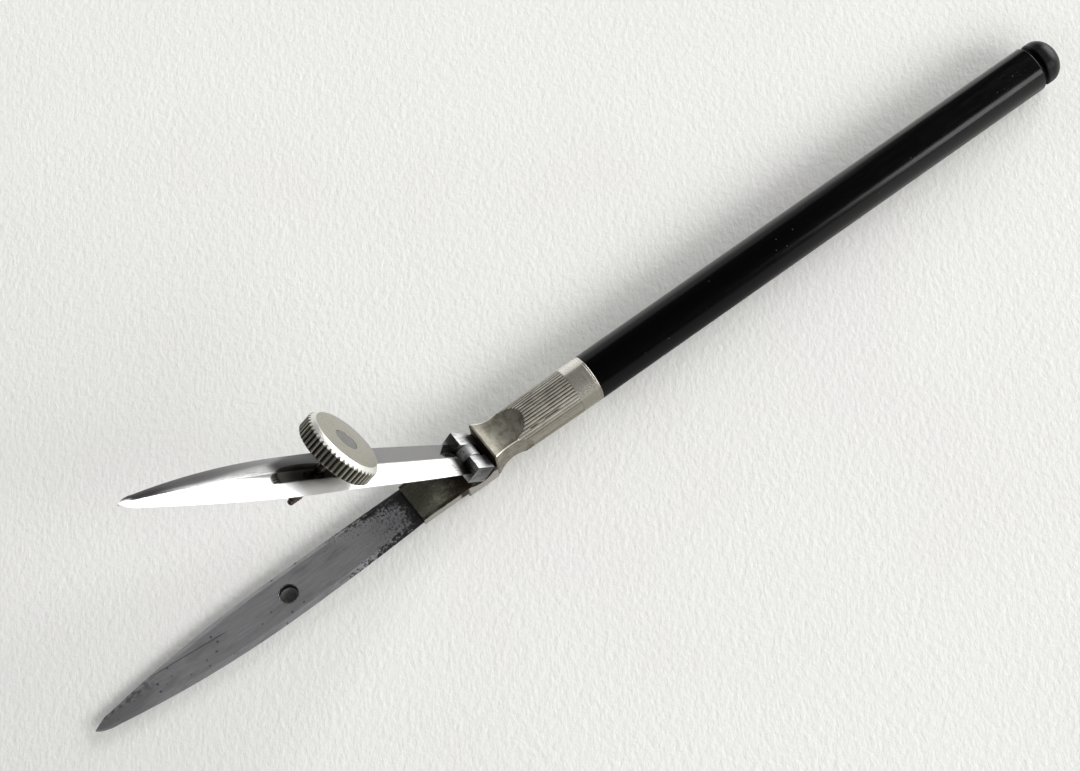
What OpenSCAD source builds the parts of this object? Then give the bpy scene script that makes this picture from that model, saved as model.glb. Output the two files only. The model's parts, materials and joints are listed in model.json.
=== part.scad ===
// Ruling pen lying on a table with its hinged upper blade open for wiping.
// X runs along the pen towards the end knob, Y along the hinge, Z up; the table is Z = 0.

/* [Pen] */
// Outside diameter of the handle and the collar
handle_d = 6.0; // [5:0.1:9]
// Length of the black handle from the collar to the groove
handle_len = 69.2; // [50:0.1:110]
// Height of the hinge axis above the table
hinge_h = 4.36; // [3.8:0.01:7]
// How far the upper blade stands open from the closed position
open_angle = 48.5; // [0:0.5:85]

/* [End knob] */
// Width of the groove between handle and knob
groove_w = 0.75; // [0.4:0.05:2]
// Diameter of the neck seen in the groove
knob_neck_d = 4.4; // [3:0.1:5]
// Diameter of the knob
knob_d = 5.7; // [4.6:0.1:6]
// Length of the knob from the groove to the top of its dome
knob_len = 3.05; // [2:0.05:8]
// Straight length of the knob before the dome
knob_straight = 0.8; // [0.3:0.1:3]
// Diameter of the tenon that fixes the knob in the handle
knob_tenon_d = 2.8; // [1.5:0.1:4]
// Length of that tenon in the handle
knob_tenon_len = 7.0; // [3:0.5:15]

/* [Collar and grip] */
// Distance from the hinge axis to the front face of the head
head_x = 2.3; // [2.2:0.05:4]
// Width of the square head
head_w = 5.4; // [4:0.1:8]
// Height of the head's top above the pen axis
head_top = 2.45; // [1.5:0.05:3]
// Distance from the hinge axis to the middle of the scooped neck
neck_x = 4.9; // [4:0.1:7]
// Width of the neck at its thinnest
neck_w = 4.4; // [3:0.1:6]
// Height of the neck's top above the pen axis at its thinnest
neck_top = 1.85; // [1:0.05:2.5]
// Depth of the neck's underside below the pen axis at its thinnest
neck_low = 1.3; // [1:0.05:2.2]
// Radius of the side scoops
side_scoop_r = 5.6; // [3:0.1:10]
// Radius of the top and bottom scoops
top_scoop_r = 5.2; // [3:0.1:10]
// Diameter of the grip at its front end
grip_front_d = 5.76; // [4:0.02:8]
// Distance from the hinge axis to the front edge of the collar
collar_x = 14.93; // [11:0.01:25]
// Length of the collar
collar_len = 3.0; // [1:0.1:8]
// Diameter of the spigot inside the collar
spigot_d = 4.4; // [2.8:0.1:5]
// Diameter of the tang that joins grip and handle
tang_d = 2.4; // [1.5:0.1:3]
// Length of the tang inside the grip
tang_in_grip = 6.0; // [3:0.5:9]
// Length of the tang inside the handle
tang_in_handle = 15.0; // [8:0.5:30]

/* [Blades] */
// Distance from the hinge axis to the blade tips
blade_len = 53.25; // [40:0.05:70]
// Greatest width of a blade
blade_w = 6.0; // [4:0.1:8]
// Distance from the hinge axis to the widest place
waist_x = 27.0; // [18:0.5:35]
// Radius of the outline from the widest place to the tip
leaf_r = 139; // [90:1:220]
// Radius of the outline from the widest place to the hinge
root_r = 577; // [200:1:900]
// Distance back from the tip to the centre of its rounding
tip_back = 0.7; // [0.4:0.05:1.5]
// Slope of each outside facet
roof_angle = 10.5; // [4:0.5:16]
// Thickness of the upper blade at its ridge
blade_t = 1.1; // [0.8:0.05:1.4]
// Thickness of the lower blade at its ridge
lower_t = 0.95; // [0.7:0.05:1.4]
// Thickness left at the tips
tip_t = 0.3; // [0.2:0.05:0.5]
// Inner face of the upper blade below the hinge axis
upper_inner = 0.9; // [0.6:0.05:1.1]
// Distance from the hinge axis to the start of the upper blade's bow
bow_x = 22.0; // [10:0.5:30]
// Radius of the upper blade's bow on the inside
bow_r = 235; // [180:1:400]
// Gap left between the tips when closed
tip_gap = 0.12; // [0.05:0.01:0.4]
// Distance from the hinge axis to the square heel of the lower blade
heel_x = 8.44; // [6:0.02:14]
// Height of the lower blade's inner face at the heel
heel_z = 2.45; // [1.8:0.05:4]
// Depth of the lower blade's bow
lower_bow = 0.35; // [0.1:0.05:0.8]
// Distance from the hinge axis to the lower blade's thickest place
lower_thick_x = 20.0; // [12:0.5:26]
// Diameter of the screw hole in the lower blade
lower_hole_d = 2.26; // [2:0.02:3]
// Distance from the hinge axis to that hole
lower_hole_x = 26.25; // [25:0.05:28]

/* [Hinge] */
// Width of the two ears over both ends
ear_w = 6.0; // [4:0.1:8]
// Length of the ears along the blade
ear_len = 2.96; // [2:0.02:3.1]
// Height of the ears
ear_h = 2.48; // [2:0.02:2.6]
// Diameter of the centre knuckle
knuckle_d = 2.8; // [2:0.1:3.2]
// Thickness of the centre knuckle
knuckle_t = 1.6; // [1:0.1:2.4]
// Clearance on each side of the knuckle
knuckle_gap = 0.06; // [0.03:0.01:0.2]
// Clearance in front of the knuckle
knuckle_front_gap = 0.35; // [0.2:0.05:0.8]
// Diameter of the hinge pin
pin_d = 0.9; // [0.6:0.05:1.4]
// Radial clearance of the pin in the knuckle
pin_gap = 0.03; // [0.01:0.01:0.1]
// Radius of the cradle that the ears turn in
cradle_r = 2.2; // [2.05:0.05:2.3]
// Width of the lower arm
arm_w = 5.5; // [4:0.1:8]
// Height of the arm's top in front of the hinge
arm_top = 2.7; // [2:0.05:4]
// Height of the arm's underside in front of the hinge
arm_low = 1.5; // [0.8:0.05:1.6]
// Height of the arm's underside below the hinge
cheek_low = 0.0; // [0:0.05:0.6]
// Rounding of the cheeks' lower edges
cheek_round = 0.9; // [0.4:0.05:1]
// Reach of the cheeks in front of the hinge axis
cheek_front = 2.0; // [1.6:0.05:3]
// Height of the cheeks behind the hinge
cheek_top = 3.3; // [2.5:0.05:4]

/* [Thumb screw] */
// Distance along the blade from the hinge axis to the screw
screw_x = 25.44; // [18:0.05:34]
// Lean of the screw towards the handle from the blade's normal
screw_lean = 12.6; // [0:0.1:15]
// Diameter of the thread
thread_d = 1.36; // [0.9:0.02:1.5]
// Diameter of the smooth neck in the blade
neck_d = 1.0; // [0.7:0.02:1.5]
// Radial clearance of the neck in the blade
neck_gap = 0.05; // [0.02:0.01:0.1]
// Length of the screw below the middle of the blade
screw_below = 5.1; // [3:0.05:5.2]
// Length of the cone at the screw's tip
screw_cone = 1.4; // [0.6:0.05:2]
// Diameter of the screw's tip
screw_tip_d = 0.72; // [0.3:0.02:1]
// Height of the disc's face above the middle of the blade
disc_face = 4.98; // [3.5:0.02:8]
// Thickness of the thumb disc
disc_t = 2.4; // [1.5:0.1:4]
// Diameter of the thumb disc
disc_d = 9.8; // [7:0.1:14]
// Diameter of the disc's flat face
disc_face_d = 8.6; // [5:0.1:9.4]
// Depth of the bevel round the face
disc_bevel = 0.6; // [0.2:0.05:1]
// Depth of the bevel under the disc
disc_under_bevel = 0.2; // [0.1:0.05:0.5]
// Diameter of the steel plug in the disc's face
plug_d = 2.9; // [2:0.1:4]

/* [Hidden] */
$fn = 96;
eps = 0.01;
big = 40;
handle_r = handle_d / 2;
axis_h = handle_r;
handle_x0 = collar_x + collar_len;
handle_x1 = handle_x0 + handle_len;
knob_x0 = handle_x1 + groove_w;
half_w = blade_w / 2;
tip_x = blade_len - tip_back;
tip_half = half_w - (leaf_r - sqrt(leaf_r * leaf_r - (tip_x - waist_x) * (tip_x - waist_x)));
ear_r = ear_len / 2;
slot_half = knuckle_t / 2 + knuckle_gap;
slot_x = knuckle_d / 2 + knuckle_front_gap;
bow_drop = bow_r - sqrt(bow_r * bow_r - (blade_len - bow_x) * (blade_len - bow_x));
lower_tip_z = hinge_h - upper_inner - bow_drop - tip_gap;
lower_slope = atan((heel_z - lower_tip_z) / (blade_len - heel_x));
lower_chord = (blade_len - heel_x) / cos(lower_slope);
lower_r = lower_chord * lower_chord / (8 * lower_bow);
bow_run = blade_len - bow_x;
bow_out_r = 1 / (1 / bow_r + 2 * (blade_t - tip_t) / (bow_run * bow_run));
lower_out_r = 1 / (1 / lower_r + 2 * (lower_t - tip_t) / ((blade_len - lower_thick_x) * (blade_len - lower_thick_x)));
lower_thick_a = asin((lower_chord / 2 - lower_thick_x + heel_x) / lower_r);
upper_mid = blade_t / 2 - upper_inner;
top_scoop_x = neck_x + 0.1;
tenon_w = 3.6;
tenon_h = 0.4;
tenon_len = 3.6;
tenon_drop = 0.2;
arm_tail_w = 3.2;
arm_tail_h = 1.0;
arm_tail_len = 2.0;
arm_tail_floor = 0.35;
arm_tail_z = axis_h - neck_low + arm_tail_floor;
knuckle_stem = 1.2;
knuckle_root_z = 1.3;
round_fn = 256;
outer_bow_fn = round(round_fn * sqrt(lower_out_r / lower_r));

// Node to draw, or all

// Turns a child drawn along Z so that it lies along the pen axis, towards the knob
module on_axis(x) {
    translate([x, 0, axis_h]) rotate([0, 90, 0]) children();
}

// Places a child of the upper blade, drawn closed about the hinge, in the open position
module opened() {
    translate([0, 0, hinge_h]) rotate([0, open_angle, 0]) children();
}

// Places a child of the screw, drawn along Z from the middle of the upper blade
module on_screw() {
    opened() translate([-screw_x, 0, upper_mid]) rotate([0, screw_lean, 0]) children();
}

module handle() {
    color([0.03, 0.03, 0.03])
    difference() {
        on_axis(handle_x0) cylinder(h = handle_len, d = handle_d);
        on_axis(handle_x0 - 1) cylinder(h = tang_in_handle + 1, d = tang_d);
        on_axis(handle_x1 - knob_tenon_len) cylinder(h = knob_tenon_len + 1, d = knob_tenon_d);
    }
}

// Half outline of the knob: tenon, neck and dome, turned about the pen axis
module knob_profile() {
    translate([0, -groove_w - knob_tenon_len]) square([knob_tenon_d / 2, knob_tenon_len + groove_w + eps]);
    translate([0, -groove_w]) square([knob_neck_d / 2, groove_w + eps]);
    square([knob_d / 2, knob_straight]);
    intersection() {
        translate([0, knob_straight]) scale([1, 2 * (knob_len - knob_straight) / knob_d])
            circle(d = knob_d, $fn = 96);
        translate([0, knob_straight - eps]) square([knob_d / 2, knob_len]);
    }
}

module end_knob() {
    color([0.03, 0.03, 0.03])
    on_axis(knob_x0) rotate_extrude() knob_profile();
}

module collar_band() {
    color([0.72, 0.70, 0.64])
    difference() {
        on_axis(collar_x) cylinder(h = collar_len, d = handle_d);
        on_axis(collar_x - 1) cylinder(h = collar_len + 2, d = spigot_d);
    }
}

// Round grip that narrows forward, and the square head in front of the neck
module grip_blank() {
    on_axis(neck_x + 0.6) cylinder(h = collar_x - neck_x - 0.6, d1 = grip_front_d, d2 = handle_d);
    on_axis(collar_x - eps) cylinder(h = collar_len + eps, d = spigot_d);
    intersection() {
        translate([head_x, -head_w / 2, 0]) cube([neck_x + 1.2 - head_x, head_w, axis_h + head_top]);
        on_axis(head_x) cylinder(h = neck_x + 1.2 - head_x, d1 = 2 * (head_w / 2 + 1.7), d2 = grip_front_d);
    }
}

module grip() {
    color([0.70, 0.68, 0.62])
    difference() {
        grip_blank();
        for (side = [-1, 1])
            translate([neck_x, side * (neck_w / 2 + side_scoop_r), -1])
                cylinder(h = handle_d + 2, r = side_scoop_r);
        translate([top_scoop_x, 0, axis_h + neck_top + top_scoop_r]) rotate([90, 0, 0])
            cylinder(h = head_w + 4, r = top_scoop_r, center = true);
        translate([top_scoop_x, 0, axis_h - neck_low - top_scoop_r]) rotate([90, 0, 0])
            cylinder(h = head_w + 4, r = top_scoop_r, center = true);
        on_axis(collar_x - tang_in_grip + collar_len)
            cylinder(h = tang_in_grip + 1, d = tang_d);
        translate([head_x - 1, -arm_tail_w / 2, arm_tail_z]) cube([arm_tail_len + 1, arm_tail_w, arm_tail_h]);
    }
}

module tang() {
    color([0.55, 0.55, 0.55])
    on_axis(handle_x0 - tang_in_grip) cylinder(h = tang_in_grip + tang_in_handle, d = tang_d);
}

// Shape of the lower arm before the cradle and pockets are cut
module arm_blank() {
    translate([-heel_x, -arm_w / 2, arm_low]) cube([heel_x + head_x, arm_w, arm_top - arm_low]);
    translate([-cheek_front, -arm_w / 2, cheek_low + cheek_round])
        cube([cheek_front + head_x, arm_w, arm_top - cheek_low - cheek_round]);
    translate([-cheek_front, cheek_round - arm_w / 2, cheek_low])
        cube([cheek_front + head_x, arm_w - 2 * cheek_round, arm_top - cheek_low]);
    for (side = [-1, 1])
        translate([-cheek_front, side * (arm_w / 2 - cheek_round), cheek_low + cheek_round])
            rotate([0, 90, 0]) cylinder(h = cheek_front + head_x, r = cheek_round, $fn = 64);
    translate([0, -arm_w / 2, arm_low]) cube([head_x, arm_w, cheek_top - arm_low]);
    translate([head_x - eps, -arm_tail_w / 2, arm_tail_z]) cube([arm_tail_len + eps, arm_tail_w, arm_tail_h]);
}

module lower_arm() {
    color([0.66, 0.65, 0.58])
    difference() {
        arm_blank();
        translate([0, 0, hinge_h]) rotate([90, 0, 0])
            cylinder(h = ear_w + 2, r = cradle_r, center = true, $fn = 128);
        translate([-knuckle_stem, -knuckle_t / 2, knuckle_root_z])
            cube([2 * knuckle_stem, knuckle_t, hinge_h]);
        blade_tenon();
    }
}

// Tongue of the lower blade inside the arm
module blade_tenon() {
    translate([-heel_x - eps, -tenon_w / 2, heel_z - tenon_drop - tenon_h])
        cube([tenon_len + eps, tenon_w, tenon_h]);
}

// Plan outline shared by both blades, from the hinge at X = 0 to the tip at X = -blade_len
module leaf(from_x, low, high) {
    h = high - low;
    intersection() {
        translate([-waist_x, half_w - leaf_r, low]) cylinder(h = h, r = leaf_r, $fn = round_fn);
        translate([-waist_x, leaf_r - half_w, low]) cylinder(h = h, r = leaf_r, $fn = round_fn);
        translate([-tip_x, -half_w - 1, low]) cube([tip_x - waist_x, blade_w + 2, h]);
    }
    translate([-tip_x, 0, low]) cylinder(h = h, r = tip_half, $fn = 48);
    intersection() {
        translate([-waist_x, half_w - root_r, low]) cylinder(h = h, r = root_r, $fn = round_fn);
        translate([-waist_x, root_r - half_w, low]) cylinder(h = h, r = root_r, $fn = round_fn);
        translate([-waist_x - eps, -half_w - 1, low]) cube([waist_x - from_x + eps, blade_w + 2, h]);
    }
}

// Everything below a face that runs straight from the hinge and bows down towards the tip
module under_bow(level, r) {
    translate([-bow_x, -big / 2, level - 12]) cube([bow_x + 10, big, 12]);
    intersection() {
        translate([-bow_x, 0, level - r]) rotate([90, 0, 0])
            cylinder(h = big, r = r, center = true, $fn = round_fn);
        translate([-blade_len - 5, -big / 2, level - 12]) cube([blade_len + 5 - bow_x, big, 12]);
    }
}

// Outside of the upper blade: a ridge with a facet on each side
module roof(level) {
    intersection_for (side = [-1, 1])
        translate([0, 0, level]) rotate([side * roof_angle, 0, 0]) translate([0, 0, -level])
            under_bow(level, bow_out_r);
}

module upper_leaf() {
    difference() {
        intersection() {
            leaf(0, -6, 3);
            roof(blade_t - upper_inner);
        }
        under_bow(-upper_inner, bow_r);
    }
}

module upper_blade() {
    color([0.80, 0.80, 0.80])
    difference() {
        union() {
            opened() upper_leaf();
            opened() translate([-ear_r, -ear_w / 2, -ear_h / 2]) cube([ear_len, ear_w, ear_h]);
        }
        opened() translate([-slot_x, -slot_half, -3]) cube([slot_x + 4, 2 * slot_half, 6]);
        opened() rotate([90, 0, 0]) cylinder(h = ear_w + 2, d = pin_d, center = true);
        on_screw() cylinder(h = 6, d = neck_d + 2 * neck_gap, center = true);
    }
}

module hinge_pin() {
    color([0.6, 0.6, 0.6])
    translate([0, 0, hinge_h]) rotate([90, 0, 0]) cylinder(h = ear_w, d = pin_d, center = true);
}

module centre_knuckle() {
    color([0.40, 0.40, 0.40])
    difference() {
        union() {
            translate([0, 0, hinge_h]) rotate([90, 0, 0])
                cylinder(h = knuckle_t, d = knuckle_d, center = true);
            translate([-knuckle_stem, -knuckle_t / 2, knuckle_root_z])
                cube([2 * knuckle_stem, knuckle_t, hinge_h - knuckle_root_z]);
        }
        translate([0, 0, hinge_h]) rotate([90, 0, 0])
            cylinder(h = knuckle_t + 2, d = pin_d + 2 * pin_gap, center = true);
    }
}

// Everything above the lower blade's inner face; its chord runs from the heel at X = 0 to the tip
module above_inner_bow() {
    translate([-lower_chord / 2, 0, lower_r - lower_bow]) rotate([90, 0, 0])
        cylinder(h = big, r = lower_r, center = true, $fn = round_fn);
}

// Everything above the lower blade's outside, which is parallel to the inner face at its thickest place
module above_outer_bow() {
    lift = lower_r + lower_t - lower_out_r;
    translate([-lower_chord / 2 + lift * sin(lower_thick_a), 0,
               lower_r - lower_bow - lift * cos(lower_thick_a)])
        rotate([90, 0, 0]) cylinder(h = big, r = lower_out_r, center = true, $fn = outer_bow_fn);
}

// Places a shape of the lower blade, drawn from its heel, on the arm
module on_heel() {
    translate([-heel_x, 0, heel_z]) rotate([0, -lower_slope, 0]) children();
}

module lower_leaf() {
    difference() {
        intersection() {
            leaf(heel_x, -2, 5);
            on_heel() rotate([roof_angle, 0, 0]) above_outer_bow();
            on_heel() rotate([-roof_angle, 0, 0]) above_outer_bow();
        }
        on_heel() above_inner_bow();
    }
}

module lower_blade() {
    color([0.45, 0.45, 0.45])
    difference() {
        union() {
            lower_leaf();
            blade_tenon();
        }
        translate([-lower_hole_x, 0, -1]) cylinder(h = 5, d = lower_hole_d);
    }
}

module screw_spindle() {
    color([0.5, 0.5, 0.5])
    on_screw() {
        translate([0, 0, -screw_below]) cylinder(h = screw_cone, d1 = screw_tip_d, d2 = thread_d);
        translate([0, 0, screw_cone - screw_below]) cylinder(h = screw_below - screw_cone - blade_t, d = thread_d);
        translate([0, 0, -blade_t - eps]) cylinder(h = 2 * blade_t + 2 * eps, d = neck_d);
        translate([0, 0, blade_t]) cylinder(h = disc_face - disc_t - blade_t + eps, d = thread_d);
        translate([0, 0, disc_face - disc_t]) cylinder(h = disc_t, d = plug_d);
    }
}

module thumb_disc() {
    color([0.72, 0.70, 0.64])
    on_screw() translate([0, 0, disc_face - disc_t])
        difference() {
            union() {
                cylinder(h = disc_under_bevel + eps, d1 = disc_d - 2 * disc_under_bevel, d2 = disc_d);
                translate([0, 0, disc_under_bevel])
                    cylinder(h = disc_t - disc_bevel - disc_under_bevel, d = disc_d);
                translate([0, 0, disc_t - disc_bevel]) cylinder(h = disc_bevel, d1 = disc_d, d2 = disc_face_d);
            }
            translate([0, 0, -1]) cylinder(h = disc_t + 2, d = plug_d);
        }
}

handle();
end_knob();
collar_band();
grip();
tang();
lower_arm();
lower_blade();
centre_knuckle();
hinge_pin();
upper_blade();
screw_spindle();
thumb_disc();
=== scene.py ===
"""Looks of a ruling pen that lies on paper with its hinged upper blade open.

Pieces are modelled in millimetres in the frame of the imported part, then brought to metres.
X runs along the pen towards the end knob, Y along the hinge pin and Z up from the paper.
"""

import json
import logging
import math
from abc import ABC, abstractmethod
from contextlib import contextmanager
from dataclasses import dataclass
from enum import Enum
from functools import reduce
from typing import Any, Callable, Dict, Iterator, List, Sequence, Tuple, Union

import bmesh
import bpy
from mathutils import Matrix, Vector


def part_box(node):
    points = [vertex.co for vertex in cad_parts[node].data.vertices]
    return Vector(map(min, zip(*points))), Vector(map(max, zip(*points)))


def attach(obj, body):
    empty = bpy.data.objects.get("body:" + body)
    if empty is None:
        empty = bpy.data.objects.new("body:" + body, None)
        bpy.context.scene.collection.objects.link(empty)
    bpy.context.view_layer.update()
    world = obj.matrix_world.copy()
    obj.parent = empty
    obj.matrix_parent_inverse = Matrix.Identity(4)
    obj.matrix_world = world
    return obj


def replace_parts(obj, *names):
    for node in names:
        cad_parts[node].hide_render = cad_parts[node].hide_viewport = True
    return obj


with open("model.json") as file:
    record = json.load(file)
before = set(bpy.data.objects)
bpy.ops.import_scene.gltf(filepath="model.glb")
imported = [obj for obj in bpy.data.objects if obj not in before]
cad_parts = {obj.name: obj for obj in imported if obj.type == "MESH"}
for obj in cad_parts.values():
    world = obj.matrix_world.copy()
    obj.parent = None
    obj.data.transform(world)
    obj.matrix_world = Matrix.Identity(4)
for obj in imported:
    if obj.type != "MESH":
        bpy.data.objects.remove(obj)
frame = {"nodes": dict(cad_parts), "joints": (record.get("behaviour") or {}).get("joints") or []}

LOG = logging.getLogger("ruling_pen")
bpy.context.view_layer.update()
MM = 0.001
PER_MM = 1.0 / MM
FULL_TURN = 2 * math.pi
MERGE_MM = 1e-5
COPY_MERGE_MM = 1e-4
FLAT_DEG = 0.5

Point = Tuple[float, float, float]
Flat = Tuple[float, float]
Colour = Tuple[float, float, float, float]


class Body(Enum):
    """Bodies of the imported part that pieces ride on."""

    HOLDER = "holder"
    BLADE = "swing_blade"
    SCREW = "thumb_screw"


class Slot(Enum):
    """Material slots of the record."""

    BLACK = "black_handle"
    NICKEL = "nickel_silver"
    DULL = "dull_steel"
    BRIGHT = "polished_steel"


class Cut(Enum):
    """Ways in which one solid works on another."""

    TAKE_AWAY = "DIFFERENCE"
    JOIN = "UNION"
    COMMON = "INTERSECT"


def joint(name: str) -> Dict[str, Any]:
    """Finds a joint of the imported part.

    Args:
        name: The joint's name.

    Returns:
        The joint as the record holds it.
    """
    return next(entry for entry in frame["joints"] if entry["name"] == name)


def box_mm(node: str) -> Tuple[Vector, Vector]:
    """Gives a node's lowest and highest corners in millimetres.

    Args:
        node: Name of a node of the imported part.

    Returns:
        The two corners.
    """
    low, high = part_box(node)
    return low * PER_MM, high * PER_MM


def radius_mm(node: str) -> float:
    """Gives the radius of a node that is round about the pen axis.

    Args:
        node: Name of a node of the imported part.

    Returns:
        The radius in millimetres.
    """
    low, high = box_mm(node)
    return (high.z - low.z) / 2


@dataclass(frozen=True)
class Layout:
    """Places that several pieces share, in millimetres and degrees.

    Attributes:
        open_deg: How far the upper blade stands open.
        lean_deg: Lean of the screw from the blade's normal.
        axis_z: Height of the pen axis above the paper.
        hinge_z: Height of the hinge axis above the paper.
        screw_x: Distance along the blade from the hinge to the screw.
        screw_z: Height of the screw's root from the hinge axis, in the closed blade.
    """

    open_deg: float
    lean_deg: float
    axis_z: float
    hinge_z: float
    screw_x: float
    screw_z: float

    @classmethod
    def from_frame(cls) -> "Layout":
        """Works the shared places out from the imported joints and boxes.

        Returns:
            The layout.
        """
        hinge = joint("blade_hinge")
        screw = joint("screw_turn")
        open_deg = -min(hinge["range_deg"])
        axis = Vector(screw["axis"])
        lean_deg = math.degrees(math.atan2(axis.x, axis.z)) - open_deg
        hinge_z = hinge["pos_m"][2] * PER_MM
        root = Vector(screw["pos_m"]) * PER_MM - Vector((0.0, 0.0, hinge_z))
        closed = Matrix.Rotation(-math.radians(open_deg), 3, "Y") @ root
        low, high = box_mm("handle")
        return cls(open_deg, lean_deg, (low.z + high.z) / 2, hinge_z, -closed.x, closed.z)

    def opened(self) -> Matrix:
        """Gives the move from the closed blade to the open one."""
        swing = Matrix.Rotation(math.radians(self.open_deg), 4, "Y")
        return Matrix.Translation((0.0, 0.0, self.hinge_z)) @ swing

    def on_screw(self) -> Matrix:
        """Gives the move from a screw drawn upright at the origin to its place."""
        lean = Matrix.Rotation(math.radians(self.lean_deg), 4, "Y")
        return self.opened() @ Matrix.Translation((-self.screw_x, 0.0, self.screw_z)) @ lean


PLACE = Layout.from_frame()


def about_pen(x: float, r: float, turn: float) -> Point:
    """Gives a point on a ring about the pen axis.

    Args:
        x: Place along the pen.
        r: Radius of the ring.
        turn: Angle from the near side, through the top, in radians.

    Returns:
        The point.
    """
    return (x, -r * math.cos(turn), PLACE.axis_z + r * math.sin(turn))


def rounded(end: float, r: float, ease: float) -> List[Flat]:
    """Gives an outside corner of a turned outline that is rounded.

    Args:
        end: Where the end face lies.
        r: Outside radius.
        ease: Radius of the rounding.

    Returns:
        Points from the side to the end face.
    """
    turns = [i * math.pi / 8 for i in range(5)]
    return [(end - ease * (1 - math.sin(t)), r - ease * (1 - math.cos(t))) for t in turns]


class Bench:
    """Modelling moves on one object at a time, in millimetres."""

    @staticmethod
    def pick(piece: bpy.types.Object) -> None:
        """Makes a piece the only selected and the active one.

        Args:
            piece: The piece.
        """
        bpy.ops.object.select_all(action="DESELECT")
        piece.select_set(True)
        bpy.context.view_layer.objects.active = piece

    @staticmethod
    @contextmanager
    def editing(piece: bpy.types.Object, whole: bool = False) -> Iterator[bmesh.types.BMesh]:
        """Opens a piece in edit mode.

        Args:
            piece: The piece to shape.
            whole: Whether all of it is selected at first, or nothing.

        Returns:
            The edit mesh, in which faces and edges are selected.
        """
        Bench.pick(piece)
        bpy.ops.object.mode_set(mode="EDIT")
        bpy.ops.mesh.select_mode(type="EDGE")
        bpy.ops.mesh.select_all(action="SELECT" if whole else "DESELECT")
        mesh = bmesh.from_edit_mesh(piece.data)
        yield mesh
        bpy.ops.object.mode_set(mode="OBJECT")

    @staticmethod
    def added(name: str, maker: Callable[..., Any], **settings: Any) -> bpy.types.Object:
        """Adds an object.

        Args:
            name: Name of the object and of its data.
            maker: The operator that adds it.
            **settings: The operator's settings.

        Returns:
            The object.
        """
        bpy.ops.object.select_all(action="DESELECT")
        maker(**settings)
        piece = bpy.context.active_object
        piece.name = name
        piece.data.name = name
        return piece

    @staticmethod
    def lathe(name: str, outline: Sequence[Flat], steps: int) -> bpy.types.Object:
        """Turns an outline about the pen axis.

        Args:
            name: The piece's name.
            outline: Points (x along the axis, radius).
            steps: Steps in the full turn.

        Returns:
            The turned piece.
        """
        piece = Bench.added(name, bpy.ops.mesh.primitive_circle_add, vertices=len(outline), radius=1.0)
        last = len(outline) - 1
        with Bench.editing(piece) as mesh:
            mesh.verts.ensure_lookup_table()
            for edge in mesh.edges:
                edge.select_set({v.index for v in edge.verts} == {0, last})
            bpy.ops.mesh.delete(type="EDGE")
        for vertex, (along, radius) in zip(piece.data.vertices, outline):
            vertex.co = (along, 0.0, PLACE.axis_z + radius)
        with Bench.editing(piece, whole=True):
            bpy.ops.mesh.spin(
                steps=steps, angle=FULL_TURN, center=(0.0, 0.0, PLACE.axis_z), axis=(1.0, 0.0, 0.0)
            )
        Bench.clean(piece)
        return piece

    @staticmethod
    def tube(
        name: str, around: int, rings: int, place: Callable[[int, int], Point], capped: bool = True
    ) -> bpy.types.Object:
        """Shapes a cylinder ring by ring.

        Args:
            name: The piece's name.
            around: Points in each ring.
            rings: Rings along the piece.
            place: Gives the place of a point from its ring and its count in the ring.
            capped: Whether the two ends are closed.

        Returns:
            The shaped piece.
        """
        fill = "NGON" if capped else "NOTHING"
        maker = bpy.ops.mesh.primitive_cylinder_add
        piece = Bench.added(name, maker, vertices=around, radius=1.0, depth=2.0, end_fill_type=fill)
        if rings > 2:
            with Bench.editing(piece) as mesh:
                for edge in mesh.edges:
                    low, high = (v.co.z for v in edge.verts)
                    edge.select_set(abs(low - high) > 1.0)
                bpy.ops.mesh.subdivide(number_cuts=rings - 2)
        for vertex in piece.data.vertices:
            ring = round((vertex.co.z + 1.0) / 2.0 * (rings - 1))
            turn = math.atan2(vertex.co.y, vertex.co.x) / FULL_TURN
            vertex.co = place(ring, round(turn * around) % around)
        return piece

    @staticmethod
    def turned(
        name: str, around: int, rows: Sequence[Tuple[float, ...]], spot: Callable[..., Point]
    ) -> bpy.types.Object:
        """Shapes a closed solid from one ring for each row.

        Args:
            name: The solid's name.
            around: Points in each ring.
            rows: Values of each ring, such as its place along the axis and its radius.
            spot: Gives a point from the values of its ring and its angle in radians.

        Returns:
            The solid.
        """

        def place(ring: int, count: int) -> Point:
            """Places a point of the solid."""
            return spot(*rows[ring], FULL_TURN * count / around)

        piece = Bench.tube(name, around, len(rows), place)
        Bench.clean(piece)
        return piece

    @staticmethod
    def block(name: str, low: Point, high: Point) -> bpy.types.Object:
        """Adds a block between two corners.

        Args:
            name: The piece's name.
            low: The lowest corner.
            high: The highest corner.

        Returns:
            The block.
        """
        piece = Bench.added(name, bpy.ops.mesh.primitive_cube_add, size=1.0)
        for vertex in piece.data.vertices:
            vertex.co = [a + (b - a) * (c + 0.5) for a, b, c in zip(low, high, vertex.co)]
        return piece

    @staticmethod
    def rod(name: str, radius: float, start: Point, end: Point, steps: int) -> bpy.types.Object:
        """Adds a plain rod.

        Args:
            name: The rod's name.
            radius: The rod's radius.
            start: Middle of one end.
            end: Middle of the other end.
            steps: Points in each ring.

        Returns:
            The rod.
        """
        run = Vector(end) - Vector(start)
        maker = bpy.ops.mesh.primitive_cylinder_add
        piece = Bench.added(name, maker, vertices=steps, radius=radius, depth=run.length)
        turn = run.to_track_quat("Z", "Y").to_matrix().to_4x4()
        Bench.move(piece, Matrix.Translation((Vector(start) + Vector(end)) / 2) @ turn)
        return piece

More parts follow.
